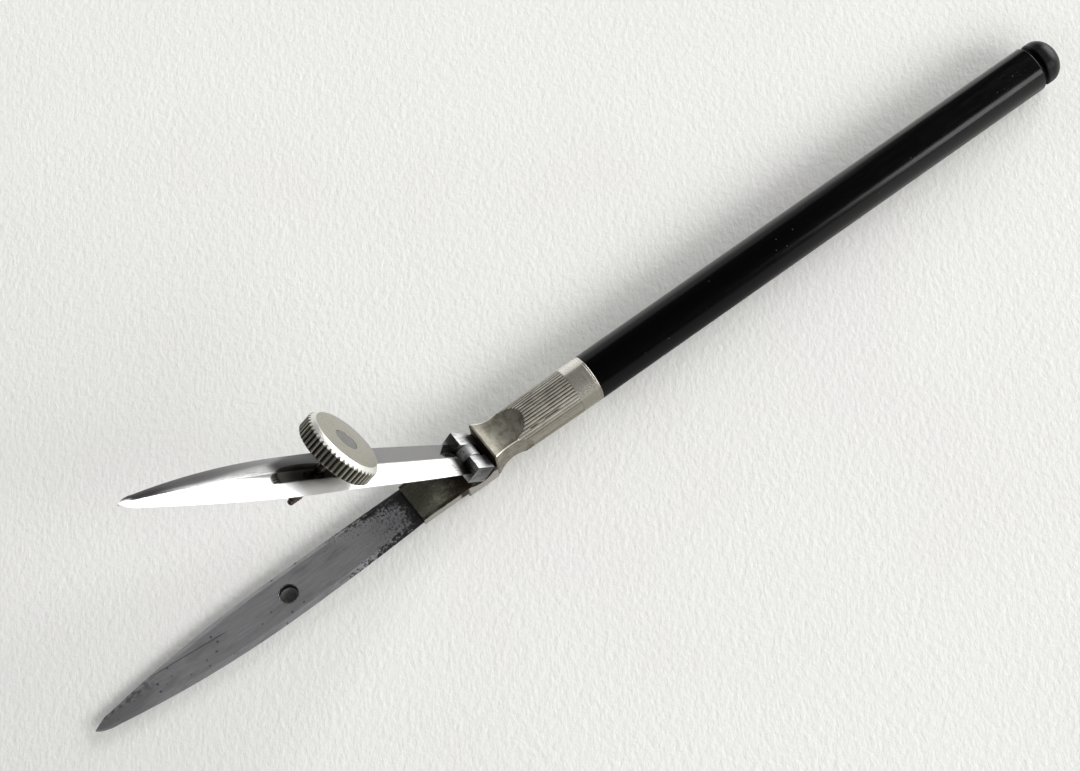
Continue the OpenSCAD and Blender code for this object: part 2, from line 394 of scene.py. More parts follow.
    @staticmethod
    def twin(source: bpy.types.Object, name: str, by: Matrix) -> bpy.types.Object:
        """Copies an object with its own mesh.

        Args:
            source: The object to copy.
            name: The copy's name.
            by: The move from the source to the copy.

        Returns:
            The copy.
        """
        piece = bpy.data.objects.new(name, source.data.copy())
        piece.data.name = name
        bpy.context.scene.collection.objects.link(piece)
        Bench.move(piece, by)
        return piece

    @staticmethod
    def copy_of(node: str, name: str) -> bpy.types.Object:
        """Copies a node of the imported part, merged, with its flat faces whole.

        Args:
            node: The node to copy.
            name: The copy's name.

        Returns:
            The copy, in millimetres.
        """
        piece = Bench.twin(frame["nodes"][node], name, Matrix.Scale(PER_MM, 4))
        with Bench.editing(piece, whole=True):
            bpy.ops.mesh.remove_doubles(threshold=COPY_MERGE_MM)
            bpy.ops.mesh.dissolve_limited(angle_limit=math.radians(FLAT_DEG))
        return piece

    @staticmethod
    def move(piece: bpy.types.Object, by: Matrix) -> None:
        """Moves a piece and keeps the place in its mesh.

        Args:
            piece: The piece to move.
            by: The move.
        """
        Bench.pick(piece)
        piece.matrix_world = by
        bpy.ops.object.transform_apply(location=True, rotation=True, scale=True)

    @staticmethod
    def cut(piece: bpy.types.Object, tool: bpy.types.Object, way: Cut) -> None:
        """Works one solid on another and removes the tool.

        Args:
            piece: The piece that stays.
            tool: The solid that is used up.
            way: How the tool acts.
        """
        Bench.pick(piece)
        step = piece.modifiers.new("cut", "BOOLEAN")
        step.operation = way.value
        step.solver = "EXACT"
        step.object = tool
        bpy.ops.object.modifier_apply(modifier=step.name)
        bpy.data.objects.remove(tool)

    @staticmethod
    def ease(
        piece: bpy.types.Object, width: float, steps: int, wanted: Callable[[bmesh.types.BMEdge], bool]
    ) -> None:
        """Rounds the edges that a test picks.

        Args:
            piece: The piece to round.
            width: Width of the rounding.
            steps: Faces across the rounding.
            wanted: Says whether an edge is rounded.
        """
        with Bench.editing(piece) as mesh:
            for edge in mesh.edges:
                edge.select_set(len(edge.link_faces) == 2 and wanted(edge))
            bpy.ops.mesh.bevel(offset=width, segments=steps, profile=0.5, clamp_overlap=True)

    @staticmethod
    def sharper(degrees: float) -> Callable[[bmesh.types.BMEdge], bool]:
        """Makes a test for edges whose faces meet at more than an angle.

        Args:
            degrees: The angle.

        Returns:
            The test.
        """
        return lambda edge: edge.calc_face_angle(0.0) > math.radians(degrees)

    @staticmethod
    def clean(piece: bpy.types.Object) -> None:
        """Merges doubles and points the faces outwards.

        Args:
            piece: The piece.
        """
        with Bench.editing(piece, whole=True):
            bpy.ops.mesh.remove_doubles(threshold=MERGE_MM)
            bpy.ops.mesh.normals_make_consistent(inside=False)

    @staticmethod
    def settle(
        piece: bpy.types.Object, body: Body, slot: Slot, material: bpy.types.Material, edge_deg: float
    ) -> bpy.types.Object:
        """Brings a finished piece to metres, dresses it and sets it on its body.

        Args:
            piece: The finished piece, in millimetres.
            body: The body that it rides on.
            slot: The record's slot of its finish. It is not used.
            material: Its finish.
            edge_deg: Angle above which an edge stays sharp.

        Returns:
            The piece.
        """
        Bench.move(piece, Matrix.Scale(MM, 4))
        Bench.pick(piece)
        bpy.ops.object.shade_smooth_by_angle(angle=math.radians(edge_deg))
        piece.data.materials.clear()
        piece.data.materials.append(material)
        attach(piece, body.value)
        LOG.info("%s: %d faces on %s", piece.name, len(piece.data.polygons), body.value)
        return piece


@dataclass(frozen=True)
class Wire:
    """A value in a node tree that takes part in plain arithmetic.

    Attributes:
        graph: The graph that new nodes go to.
        socket: The output that carries the value.
    """

    graph: "Graph"
    socket: bpy.types.NodeSocket

    def __add__(self, other: "Value") -> "Wire":
        """Gives a sum."""
        return self.graph.math("ADD", self, other)

    def __radd__(self, other: float) -> "Wire":
        """Gives a number plus this value."""
        return self.graph.math("ADD", other, self)

    def __sub__(self, other: "Value") -> "Wire":
        """Gives a difference."""
        return self.graph.math("SUBTRACT", self, other)

    def __rsub__(self, other: float) -> "Wire":
        """Gives a number less this value."""
        return self.graph.math("SUBTRACT", other, self)

    def __mul__(self, other: "Value") -> "Wire":
        """Gives a product."""
        return self.graph.math("MULTIPLY", self, other)

    def __abs__(self) -> "Wire":
        """Gives the value without its sign."""
        return self.graph.math("ABSOLUTE", self)


Value = Union[Wire, float]
Tone = Union[Wire, Colour]


class Graph:
    """A node tree that is built value by value."""

    def __init__(self, tree: bpy.types.NodeTree) -> None:
        """Works on a tree."""
        self.tree = tree

    def node(
        self, kind: str, inputs: Dict[Any, Any], port: Union[int, str] = 0, **settings: Any
    ) -> Wire:
        """Adds a node.

        Args:
            kind: The node's type.
            inputs: Values or wires for its inputs, by name or number.
            port: Name or number of the output that is used.
            **settings: The node's own settings.

        Returns:
            The output.
        """
        node = self.tree.nodes.new(kind)
        for name, value in settings.items():
            setattr(node, name, value)
        for key, value in inputs.items():
            self.feed(node.inputs[key], value)
        return Wire(self, node.outputs[port])

    def feed(self, socket: bpy.types.NodeSocket, value: Any) -> None:
        """Links an input, or sets its value.

        Args:
            socket: The input.
            value: A wire to link or a value to set.
        """
        if isinstance(value, Wire):
            self.tree.links.new(value.socket, socket)
        else:
            socket.default_value = value

    def math(self, kind: str, first: Value, second: Value = 0.0) -> Wire:
        """Gives an operation on one or two values."""
        return self.node("ShaderNodeMath", {0: first, 1: second}, operation=kind)

    def most(self, *values: Value) -> Wire:
        """Gives the largest of some values."""
        return reduce(lambda first, second: self.math("MAXIMUM", first, second), values)

    def reach(self, first: Wire, second: Wire) -> Wire:
        """Gives the distance from an axis, from two places across it."""
        return self.math("SQRT", first * first + second * second)

    def span(self, value: Wire, start: float, end: float, low: float = 0.0, high: float = 1.0) -> Wire:
        """Eases from one number to another as a value goes from start to end."""
        inputs = {"Value": value, "From Min": start, "From Max": end, "To Min": low, "To Max": high}
        return self.node("ShaderNodeMapRange", inputs, interpolation_type="SMOOTHSTEP")

    def mix(self, share: Wire, first: Tone, second: Tone) -> Wire:
        """Mixes two colours by a share."""
        return self.node("ShaderNodeMix", {0: share, 6: first, 7: second}, 2, data_type="RGBA")

    def axes(self, vector: Wire) -> List[Wire]:
        """Splits coordinates into their three parts."""
        first = self.node("ShaderNodeSeparateXYZ", {0: vector})
        return [Wire(self, part) for part in first.socket.node.outputs]

    def noise(self, vector: Wire, scale: float, detail: float = 2.0, rough: float = 0.5) -> Wire:
        """Gives smooth noise with a number of swings per millimetre."""
        inputs = {"Vector": vector, "Scale": scale, "Detail": detail, "Roughness": rough}
        return self.node("ShaderNodeTexNoise", inputs)

    def cells(self, vector: Wire, scale: float) -> Wire:
        """Gives the distance to scattered points with a number per millimetre."""
        return self.node("ShaderNodeTexVoronoi", {"Vector": vector, "Scale": scale}, "Distance")

    def bump(self, height: Wire, depth: float, strength: float, **under: Wire) -> Wire:
        """Gives a normal from a height.

        Args:
            height: The height, from 0 to 1.
            depth: Depth of a full swing in millimetres.
            strength: Share of the bump that shows.
            **under: A normal that lies below, as Normal.

        Returns:
            The normal.
        """
        inputs = {"Height": height, "Distance": depth * MM, "Strength": strength, **under}
        return self.node("ShaderNodeBump", inputs)


class Coat(Graph):
    """One procedural material, with the piece's own coordinates in millimetres.

    Attributes:
        here: The coordinates, which x, y and z split.
    """

    def __init__(self, name: str, origin: Point = (0, 0, 0), turn_deg: Point = (0, 0, 0)) -> None:
        """Starts a material with its own shader.

        Args:
            name: The material's name.
            origin: Where the coordinates have their origin.
            turn_deg: How they are turned.
        """
        self.material = bpy.data.materials.new(name)
        self.material.use_nodes = True
        super().__init__(self.material.node_tree)
        self.origin = origin
        self.turn_deg = turn_deg
        self.here = self.place()
        self.x, self.y, self.z = self.axes(self.here)

    @classmethod
    def on_screw(cls, name: str) -> "Coat":
        """Starts a material whose Z runs up the screw."""
        return cls(name, tuple(PLACE.on_screw().translation), (0, PLACE.open_deg + PLACE.lean_deg, 0))

    def place(self, stretch: Point = (1, 1, 1), more_deg: float = 0.0) -> Wire:
        """Gives the coordinates, drawn out for a pattern.

        Args:
            stretch: How far the pattern is drawn out along each of its axes.
            more_deg: How far it is turned about Z besides.

        Returns:
            The coordinates.
        """
        about_x, about_y, about_z = self.turn_deg
        turn = (about_x, about_y, about_z + more_deg)
        inputs = {
            "Vector": self.node("ShaderNodeTexCoord", {}, "Object"),
            "Location": [value * MM for value in self.origin],
            "Rotation": [math.radians(value) for value in turn],
            "Scale": [value * MM for value in stretch],
        }
        return self.node("ShaderNodeMapping", inputs, vector_type="TEXTURE")

    def dress(self, colour: Tone, rough: Value, normal: Wire, **more: Any) -> bpy.types.Material:
        """Feeds the shader.

        Args:
            colour: The base colour.
            rough: The roughness.
            normal: The normal.
            **more: Other inputs, with the shader's names in lower case and underscores.

        Returns:
            The material.
        """
        shader = self.tree.nodes["Principled BSDF"]
        names = {socket.name.lower().replace(" ", "_"): socket for socket in shader.inputs}
        inputs = {"base_color": colour, "roughness": rough, "normal": normal, **more}
        for key, value in inputs.items():
            self.feed(names[key], value)
        return self.material


def grey(level: float, warm: float = 0.0) -> Colour:
    """Gives a grey that may lean to yellow.

    Args:
        level: How light it is.
        warm: Share taken from the blue.

    Returns:
        The colour.
    """
    return (level, level * (1.0 - 0.25 * warm), level * (1.0 - warm), 1.0)


@dataclass(frozen=True)
class BlackEbonite:
    """Black hard rubber, a little browned, with fine scratches, dust and nicks.

    Attributes:
        name: The material's name.
        smooth: Roughness where it is cleanest.
        matt_x: Where the near side goes from glossy to matt, along the pen.
        matt_rise: The same, in height from the pen axis.
        brown_z: Heights between which it turns brown.
        rough_z: Heights between which it turns rough.
        near_y: Where the near side begins.
        far_y: Where the smoother far side begins.
    """

    name: str = "black_ebonite"
    smooth: float = 0.17
    black: Colour = (0.0012, 0.0012, 0.0014, 1.0)
    brown: Colour = (0.011, 0.008, 0.006, 1.0)
    nick: Colour = (0.16, 0.155, 0.14, 1.0)
    ior: float = 1.36
    matt_x: Flat = (68.0, 34.0)
    matt_rise: Flat = (1.2, -0.4)
    brown_z: Flat = (3.2, 1.2)
    rough_z: Flat = (3.2, 1.6)
    near_y: Flat = (0.3, -0.5)
    far_y: Flat = (0.8, 1.8)

    def build(self) -> bpy.types.Material:
        """Builds the finish.

        Returns:
            The material.
        """
        g = Coat(self.name)
        along = g.place((14.0, 1.0, 1.0))
        streaks = g.noise(along, 5.0, 4.0, 0.6)
        wild = g.noise(g.here, 0.35)
        dust = g.span(g.cells(g.here, 1.3), 0.075, 0.03) * g.span(wild, 0.52, 0.6)
        nicks = g.span(g.cells(along, 0.42), 0.1, 0.05) * g.span(wild, 0.55, 0.62)
        worn = g.most(dust, nicks)
        patches = g.noise(g.place((3.0, 1.0, 1.0)), 0.5, 3.0)
        browned = g.span(g.z, *self.brown_z) * g.span(patches, 0.3, 0.7)
        colour = g.mix(worn, g.mix(browned, self.black, self.brown), self.nick)
        matt = g.span(g.z - PLACE.axis_z, *self.matt_rise, 0.0, 0.15)
        matt = g.span(g.x, *self.matt_x, 0.0, 0.3) + matt
        gloss = 0.5 - g.span(g.y, *self.near_y) * matt
        rough = g.span(streaks, 0.35, 0.75, self.smooth, self.smooth + 0.08) + worn * 0.4
        rough = rough + g.span(g.z, *self.rough_z, 0.0, 0.3) - g.span(g.y, *self.far_y, 0.0, 0.08)
        normal = g.bump(streaks * 0.25 - nicks, 0.012, 0.5)
        return g.dress(colour, rough, normal, ior=self.ior, specular_ior_level=gloss)


@dataclass(frozen=True)
class NickelSilver(ABC):
    """Satin nickel silver with tool lines, tarnish and grime, on which some pieces also paint light and
    shade.

    Attributes:
        name: The material's name.
        tool_stretch: How far the tool lines are drawn out along each axis.
        tone: Colour of the clean metal.
        smooth: Roughness of the clean metal.
        metal: How metallic it is under its tarnish.
        low_z: Heights between which it gets more tarnished.
    """

    name: str
    tool_stretch: Point
    tone: Colour
    smooth: float = 0.25
    metal: float = 0.74
    tarnish: Colour = (0.36, 0.325, 0.26, 1.0)
    grime: Colour = (0.035, 0.026, 0.018, 1.0)
    low_z: Flat = (4.6, 0.8)

    def build(self) -> bpy.types.Material:
        """Builds the finish.

        Returns:
            The material.
        """
        g = Coat(self.name)
        lines = g.noise(g.place(self.tool_stretch), 7.0, 4.0, 0.65)
        patches = g.noise(g.here, 0.55, 4.0, 0.6)
        stain = g.span(patches, 0.42, 0.72) * (0.35 + g.span(g.z, *self.low_z))
        pits = g.span(g.cells(g.here, 2.6), 0.09, 0.04) * g.span(patches, 0.5, 0.6)
        colour, pits = self.add_marks_and_painted_light(g, g.mix(stain, self.tone, self.tarnish), pits, patches)
        rough = g.span(lines, 0.3, 0.75, self.smooth - 0.05, self.smooth + 0.08) + stain * 0.1
        normal = g.bump(lines - pits * 2.0, 0.006, 0.6)
        # A piece may give back painted shade in the grime mask, which then takes the grime colour here.
        return g.dress(g.mix(pits, colour, self.grime), rough, normal, metallic=self.metal)

    @abstractmethod
    def add_marks_and_painted_light(self, g: Coat, colour: Wire, pits: Wire, patches: Wire) -> Tuple[Wire, Wire]:
        """Adds the worn marks of one piece and the light and shade painted on it.

        Args:
            g: The material.
            colour: Colour of the tarnished metal.
            pits: Mask of its grime.
            patches: A noise.

        Returns:
            The colour and the mask of the grime, which may also hold painted shade.
        """


@dataclass(frozen=True)
class CollarNickel(NickelSilver):
    """Nickel silver of the collar, with painted shade on the near side and a painted highlight on the
    far one.
    """

    name: str = "collar_nickel_silver"
    tool_stretch: Point = (1.0, 9.0, 9.0)
    tone: Colour = (0.6, 0.577, 0.508, 1.0)
    painted_shade_tone: Colour = (0.25, 0.236, 0.196, 1.0)
    painted_highlight_tone: Colour = (0.95, 0.93, 0.86, 1.0)
    painted_shade_z: Flat = (4.95, 4.35)
    painted_shade_y: Flat = (0.0, -0.5)
    painted_highlight_y: Flat = (0.5, 1.0)

    def add_marks_and_painted_light(self, g: Coat, colour: Wire, pits: Wire, patches: Wire) -> Tuple[Wire, Wire]:
        """Paints shade on the lower near side and a highlight on the far side.

        Args:
            g: The material.
            colour: Colour of the tarnished metal.
            pits: Mask of its grime.
            patches: A noise. It is not used.

        Returns:
            The colour and the mask of the grime.
        """
        # Painted shade: the lower near side is darkened.
        below = g.span(g.z, *self.painted_shade_z) * g.span(g.y, *self.painted_shade_y, 0.0, 0.92)
        colour = g.mix(below, colour, self.painted_shade_tone)
        # Painted highlight: the far side is made pale.
        return g.mix(g.span(g.y, *self.painted_highlight_y, 0.0, 0.9), colour, self.painted_highlight_tone), pits


@dataclass(frozen=True)
class ArmNickel(NickelSilver):
    """Nickel silver of the lower arm, with grime round the hinge and along the top edges.

    Attributes:
        flank_y: Where the worn flanks begin, whose lighter colour also paints their light.
        cheek_r: Distances from the hinge axis in which a ring of painted shadow draws the cheek.
        notch_x: Middle of the notch of painted shadow in front of the cheek.
        edge_y: Where the dark edge of the top begins.
        shade_x: Where painted shade darkens the top towards the hinge.
        top_z: Heights at which the top begins.
    """

    name: str = "arm_nickel_silver"
    tool_stretch: Point = (5.0, 1.0, 1.0)
    tone: Colour = (0.13, 0.13, 0.1, 1.0)
    worn: Colour = (0.36, 0.35, 0.315, 1.0)
    flank_y: Flat = (2.7, 2.74)
    cheek_r: Flat = (2.5, 2.3)
    cheek_y: Flat = (2.55, 2.7)
    notch_x: float = -2.55
    notch_out: Flat = (0.8, 0.4)
    notch_y: Flat = (2.4, 2.65)
    edge_y: Flat = (2.2, 2.5)
    shade_x: Flat = (-5.2, -2.4)
    top_z: Flat = (2.5, 2.66)

    def add_marks_and_painted_light(self, g: Coat, colour: Wire, pits: Wire, patches: Wire) -> Tuple[Wire, Wire]:
        """Lightens the worn flanks, which also paints their light, paints the shadow round the hinge and
        draws the dark line along the top edges.

        Args:
            g: The material.
            colour: Colour of the tarnished metal.
            pits: Mask of its grime.
            patches: A noise.

        Returns:
            The colour and the mask of the grime and of the painted shadow.
        """
        side = abs(g.y)
        out = g.reach(g.x, g.z - PLACE.hinge_z)
        # Painted shadow: a ring round the cheek, a notch in front of it and shade on the top towards the
        # hinge.
        cheek = g.span(out, *self.cheek_r) * g.span(side, *self.cheek_y)
        notch = g.span(abs(g.x - self.notch_x), *self.notch_out) * g.span(side, *self.notch_y)
        edge = g.span(side, *self.edge_y) * g.span(patches, 0.36, 0.5, 0.25, 0.95)
        shade = g.most(edge, g.span(g.x, *self.shade_x, 0.0, 0.95))
        painted_shadow_and_edge = g.most(cheek, notch, g.span(g.z, *self.top_z) * shade)
        # The flanks are lighter than the dark top, both as worn metal and as painted light.
        return g.mix(g.span(side, *self.flank_y), colour, self.worn), g.most(pits, painted_shadow_and_edge)


@dataclass(frozen=True)
class FlutedNickel:
    """Nickel silver of the fluted grip: grime in the flutes, painted shade on the near side and a
    painted highlight on the far side.

    Attributes:
        taper_x: Where the fluted body starts and ends.
        taper_r: Its radius at both places.
        depth: Depth of the flutes.
        gouge_deg: Angle of the flute that is gouged.
        gouge_x: Start and end of each gouge.
        low_rise: Heights from the pen axis between which it gets more tarnished.
    """

    taper_x: Flat
    taper_r: Flat
    depth: float
    tone: Colour = (0.585, 0.56, 0.485, 1.0)
    tarnish: Colour = (0.30, 0.27, 0.215, 1.0)
    painted_shade_tone: Colour = (0.25, 0.232, 0.19, 1.0)
    painted_highlight_tone: Colour = (0.95, 0.92, 0.83, 1.0)
    grime: Colour = (0.03, 0.024, 0.018, 1.0)
    gouge_deg: float = 45.5
    gouge_x: Tuple[Flat, Flat] = ((7.7, 9.5), (9.8, 12.6))
    gouge_half: Flat = (0.13, 0.05)
    low_rise: Flat = (1.5, -0.6)
    painted_shade_rise: Flat = (1.85, 1.25)
    painted_shade_y: Flat = (0.0, -0.5)
    painted_highlight_y: Flat = (0.5, 1.2)
    painted_highlight_x: Flat = (9.5, 12.5)

    def build(self) -> bpy.types.Material:
        """Builds the finish.

        Returns:
            The material.
        """
        g = Coat("fluted_nickel_silver")
        rise = g.z - PLACE.axis_z
        slope = (self.taper_r[1] - self.taper_r[0]) / (self.taper_x[1] - self.taper_x[0])
        surface = g.x * slope + (self.taper_r[0] - slope * self.taper_x[0])
        groove = g.span(surface - g.reach(g.y, rise), 0.15 * self.depth, 0.7 * self.depth)
        patches = g.noise(g.here, 0.7, 4.0, 0.6)
        dirt = groove * g.span(patches, 0.2, 0.6, 0.7, 1.0)
        dirt = g.most(dirt, self.gouges(g, rise))
        stain = g.span(patches, 0.35, 0.7) * (0.4 + g.span(rise, *self.low_rise))
        colour = g.mix(stain, self.tone, self.tarnish)
        # Painted shade: the lower near side is darkened.
        below = g.span(rise, *self.painted_shade_rise) * g.span(g.y, *self.painted_shade_y, 0.0, 0.9)
        colour = g.mix(below, colour, self.painted_shade_tone)
        # Painted highlight: the far side of the rear flutes is made pale.
        above = g.span(g.y, *self.painted_highlight_y, 0.0, 0.6) * g.span(g.x, *self.painted_highlight_x, 0.25, 1.0)
        colour = g.mix(dirt, g.mix(above, colour, self.painted_highlight_tone), self.grime)
        lines = g.noise(g.place((6.0, 1.0, 1.0)), 6.0, 3.0)
        rough = g.span(lines, 0.3, 0.75, 0.24, 0.38) + dirt * 0.3
        metal = g.span(dirt, 0.3, 0.9, 0.62, 0.3)
        return g.dress(colour, rough, g.bump(lines, 0.006, 0.5), metallic=metal)

    def gouges(self, g: Coat, rise: Wire) -> Wire:
        """Draws the dark gouges in one flute as a mask.

        Args:
            g: The material.
            rise: Height above the pen axis.

        Returns:
            The mask.
        """
        turn = math.radians(self.gouge_deg)
        off = rise * math.cos(turn) + g.y * math.sin(turn)
        thin = g.span(abs(off), *self.gouge_half) * g.span(rise, 0.5, 1.0)
        runs = [g.span(g.x, a, a + 0.4) * g.span(g.x, b, b - 0.8) for a, b in self.gouge_x]
        return thin * g.most(*runs)


@dataclass(frozen=True)
class ScoopedNickel:
    """Satin nickel silver of the scooped neck and the head, with painted shade in the hollows, on the
    near side and on the head's front face, and a painted highlight on the ridge.

    Attributes:
        front_x: Where the head's front face lies, which is painted black as its shade.
        side: Place along the pen, distance from its axis and radius of the side scoops.
        top: The same of the top scoop, with its height.
        shade_x: Where the painted shade towards the flutes begins.
        smudge_x: Where the brown low on the neck begins.
        near_y: Where the painted shade on the near side begins.
        ridge_w: Distances from both scoops in which the worn ridge lies, which is painted pale as its
            highlight.
    """

    front_x: float
    side: Point
    top: Point
    black: Colour = (0.02, 0.016, 0.013, 1.0)
    tone: Colour = (0.325, 0.309, 0.255, 1.0)
    tarnish: Colour = (0.175, 0.156, 0.118, 1.0)
    brown: Colour = (0.1, 0.08, 0.06, 1.0)
    worn: Colour = (0.9, 0.88, 0.8, 1.0)
    metal: float = 0.5
    front_w: Flat = (0.1, 0.02)
    shade_x: Flat = (7.2, 9.2)
    smudge_x: Flat = (5.8, 7.6)
    smudge_z: Flat = (3.4, 2.6)
    near_y: Flat = (-1.5, -2.1)
    ridge_w: Flat = (0.13, 0.04)
    ridge_z: Flat = (2.6, 3.4)

    def build(self) -> bpy.types.Material:
        """Builds the finish.

        Returns:
            The material.
        """
        g = Coat("scooped_nickel_silver")
        across = g.noise(g.place((1.0, 5.0, 2.0)), 5.0, 4.0, 0.65)
        patches = g.noise(g.here, 0.9, 4.0, 0.6)
        spots = g.noise(g.here, 2.4, 3.0, 0.6)
        colour = g.mix(g.span(patches, 0.35, 0.7), self.tone, self.tarnish)
        colour = g.mix(g.span(spots, 0.56, 0.74, 0.0, 0.7), colour, self.brown)
        # Painted shade: brown towards the flutes and on the near side, with a patchy smudge low on the
        # neck.
        shade = g.span(g.x, *self.shade_x) * g.span(spots, 0.25, 0.55, 0.55, 0.9)
        smudge = g.span(g.x, *self.smudge_x) * g.span(g.z, *self.smudge_z)
        smudge = smudge * g.span(patches, 0.3, 0.6, 0.3, 0.9)
        shade = g.most(shade, smudge, g.span(g.y, *self.near_y, 0.0, 0.35))
        colour = g.mix(shade, colour, self.brown)
        past = self.clear_of(g, abs(g.y), self.side) + self.clear_of(g, g.z, self.top)
        ridge = g.span(past, *self.ridge_w) * g.span(g.z, *self.ridge_z)
        # Painted highlight: the worn ridge between the scoops is made pale.
        colour = g.mix(ridge, colour, self.worn)
        # Painted shade: the head's front face is made black.
        colour = g.mix(g.span(g.x - self.front_x, *self.front_w), colour, self.black)
        rough = g.span(across, 0.3, 0.75, 0.4, 0.55)
        return g.dress(colour, rough, g.bump(across, 0.012, 0.7), metallic=self.metal)

    def clear_of(self, g: Coat, other: Wire, scoop: Point) -> Wire:
        """Gives the distance from a scoop's surface.

        Args:
            g: The material.
            other: Place across the scoop.
            scoop: Middle along the pen, middle across and radius of the scoop.

        Returns:
            The distance.
        """
        middle, across, radius = scoop
        return abs(g.reach(g.x - middle, other - across) - radius)


@dataclass(frozen=True)
class PolishedSteel(ABC):
    """Mirror polished steel with fine lengthwise scratches and a few stains, on which each piece also
    paints light and shade.

    Places are those of the closed blade, whose tip points along -X from the hinge axis.

    Attributes:
        name: The material's name.
        tone: Colour of the steel.
        smooth: Roughness of the clean steel.
        root_x: Where the stains at the blade's root begin.
    """

    name: str
    tone: Colour
    smooth: float
    stain: Colour = (0.2, 0.18, 0.17, 1.0)
    pale: Colour = (0.56, 0.557, 0.566, 1.0)
    painted_dark: Colour = (0.03, 0.028, 0.031, 1.0)
    root_x: Flat = (-9.0, -2.0)

    def build(self) -> bpy.types.Material:
        """Builds the finish.

        Returns:
            The material.
        """
        g = Coat(self.name, (0.0, 0.0, PLACE.hinge_z), (0.0, PLACE.open_deg, 0.0))
        along = g.noise(g.place((16.0, 1.0, 1.0)), 6.0, 4.0, 0.6)
        across = g.noise(g.place((3.0, 1.0, 1.0)), 2.2, 3.0, 0.6)
        patches = g.noise(g.here, 0.8, 3.0, 0.6)
        stained = g.span(g.x, *self.root_x) * g.span(across, 0.52, 0.66)
        spots = g.span(g.cells(g.here, 1.7), 0.07, 0.03) * g.span(patches, 0.52, 0.6)
        marks = g.most(stained * 0.6, spots)
        colour, brushed_highlight = self.add_stains_and_painted_light(g, marks, along, across)
        rough = g.span(along, 0.4, 0.8, self.smooth, self.smooth + 0.09) + marks * 0.25 + brushed_highlight * 0.3
        wave = g.noise(g.place((3.0, 1.0, 1.0)), 0.25, 1.0)
        normal = g.bump(along, 0.002, 0.3, Normal=g.bump(wave, 0.02, 0.35))
        return g.dress(colour, rough, normal, metallic=1.0)

    @abstractmethod
    def add_stains_and_painted_light(self, g: Coat, marks: Wire, along: Wire, across: Wire) -> Tuple[Wire, Wire]:
        """Colours the steel, paints its light and shade, and brushes what has lost its polish.

        Args:
            g: The material.
            marks: Mask of the stains.
            along: Noise of the scratches.
            across: A coarser noise.

        Returns:
            The colour and the mask of the brushed places, which carry painted highlight.
        """


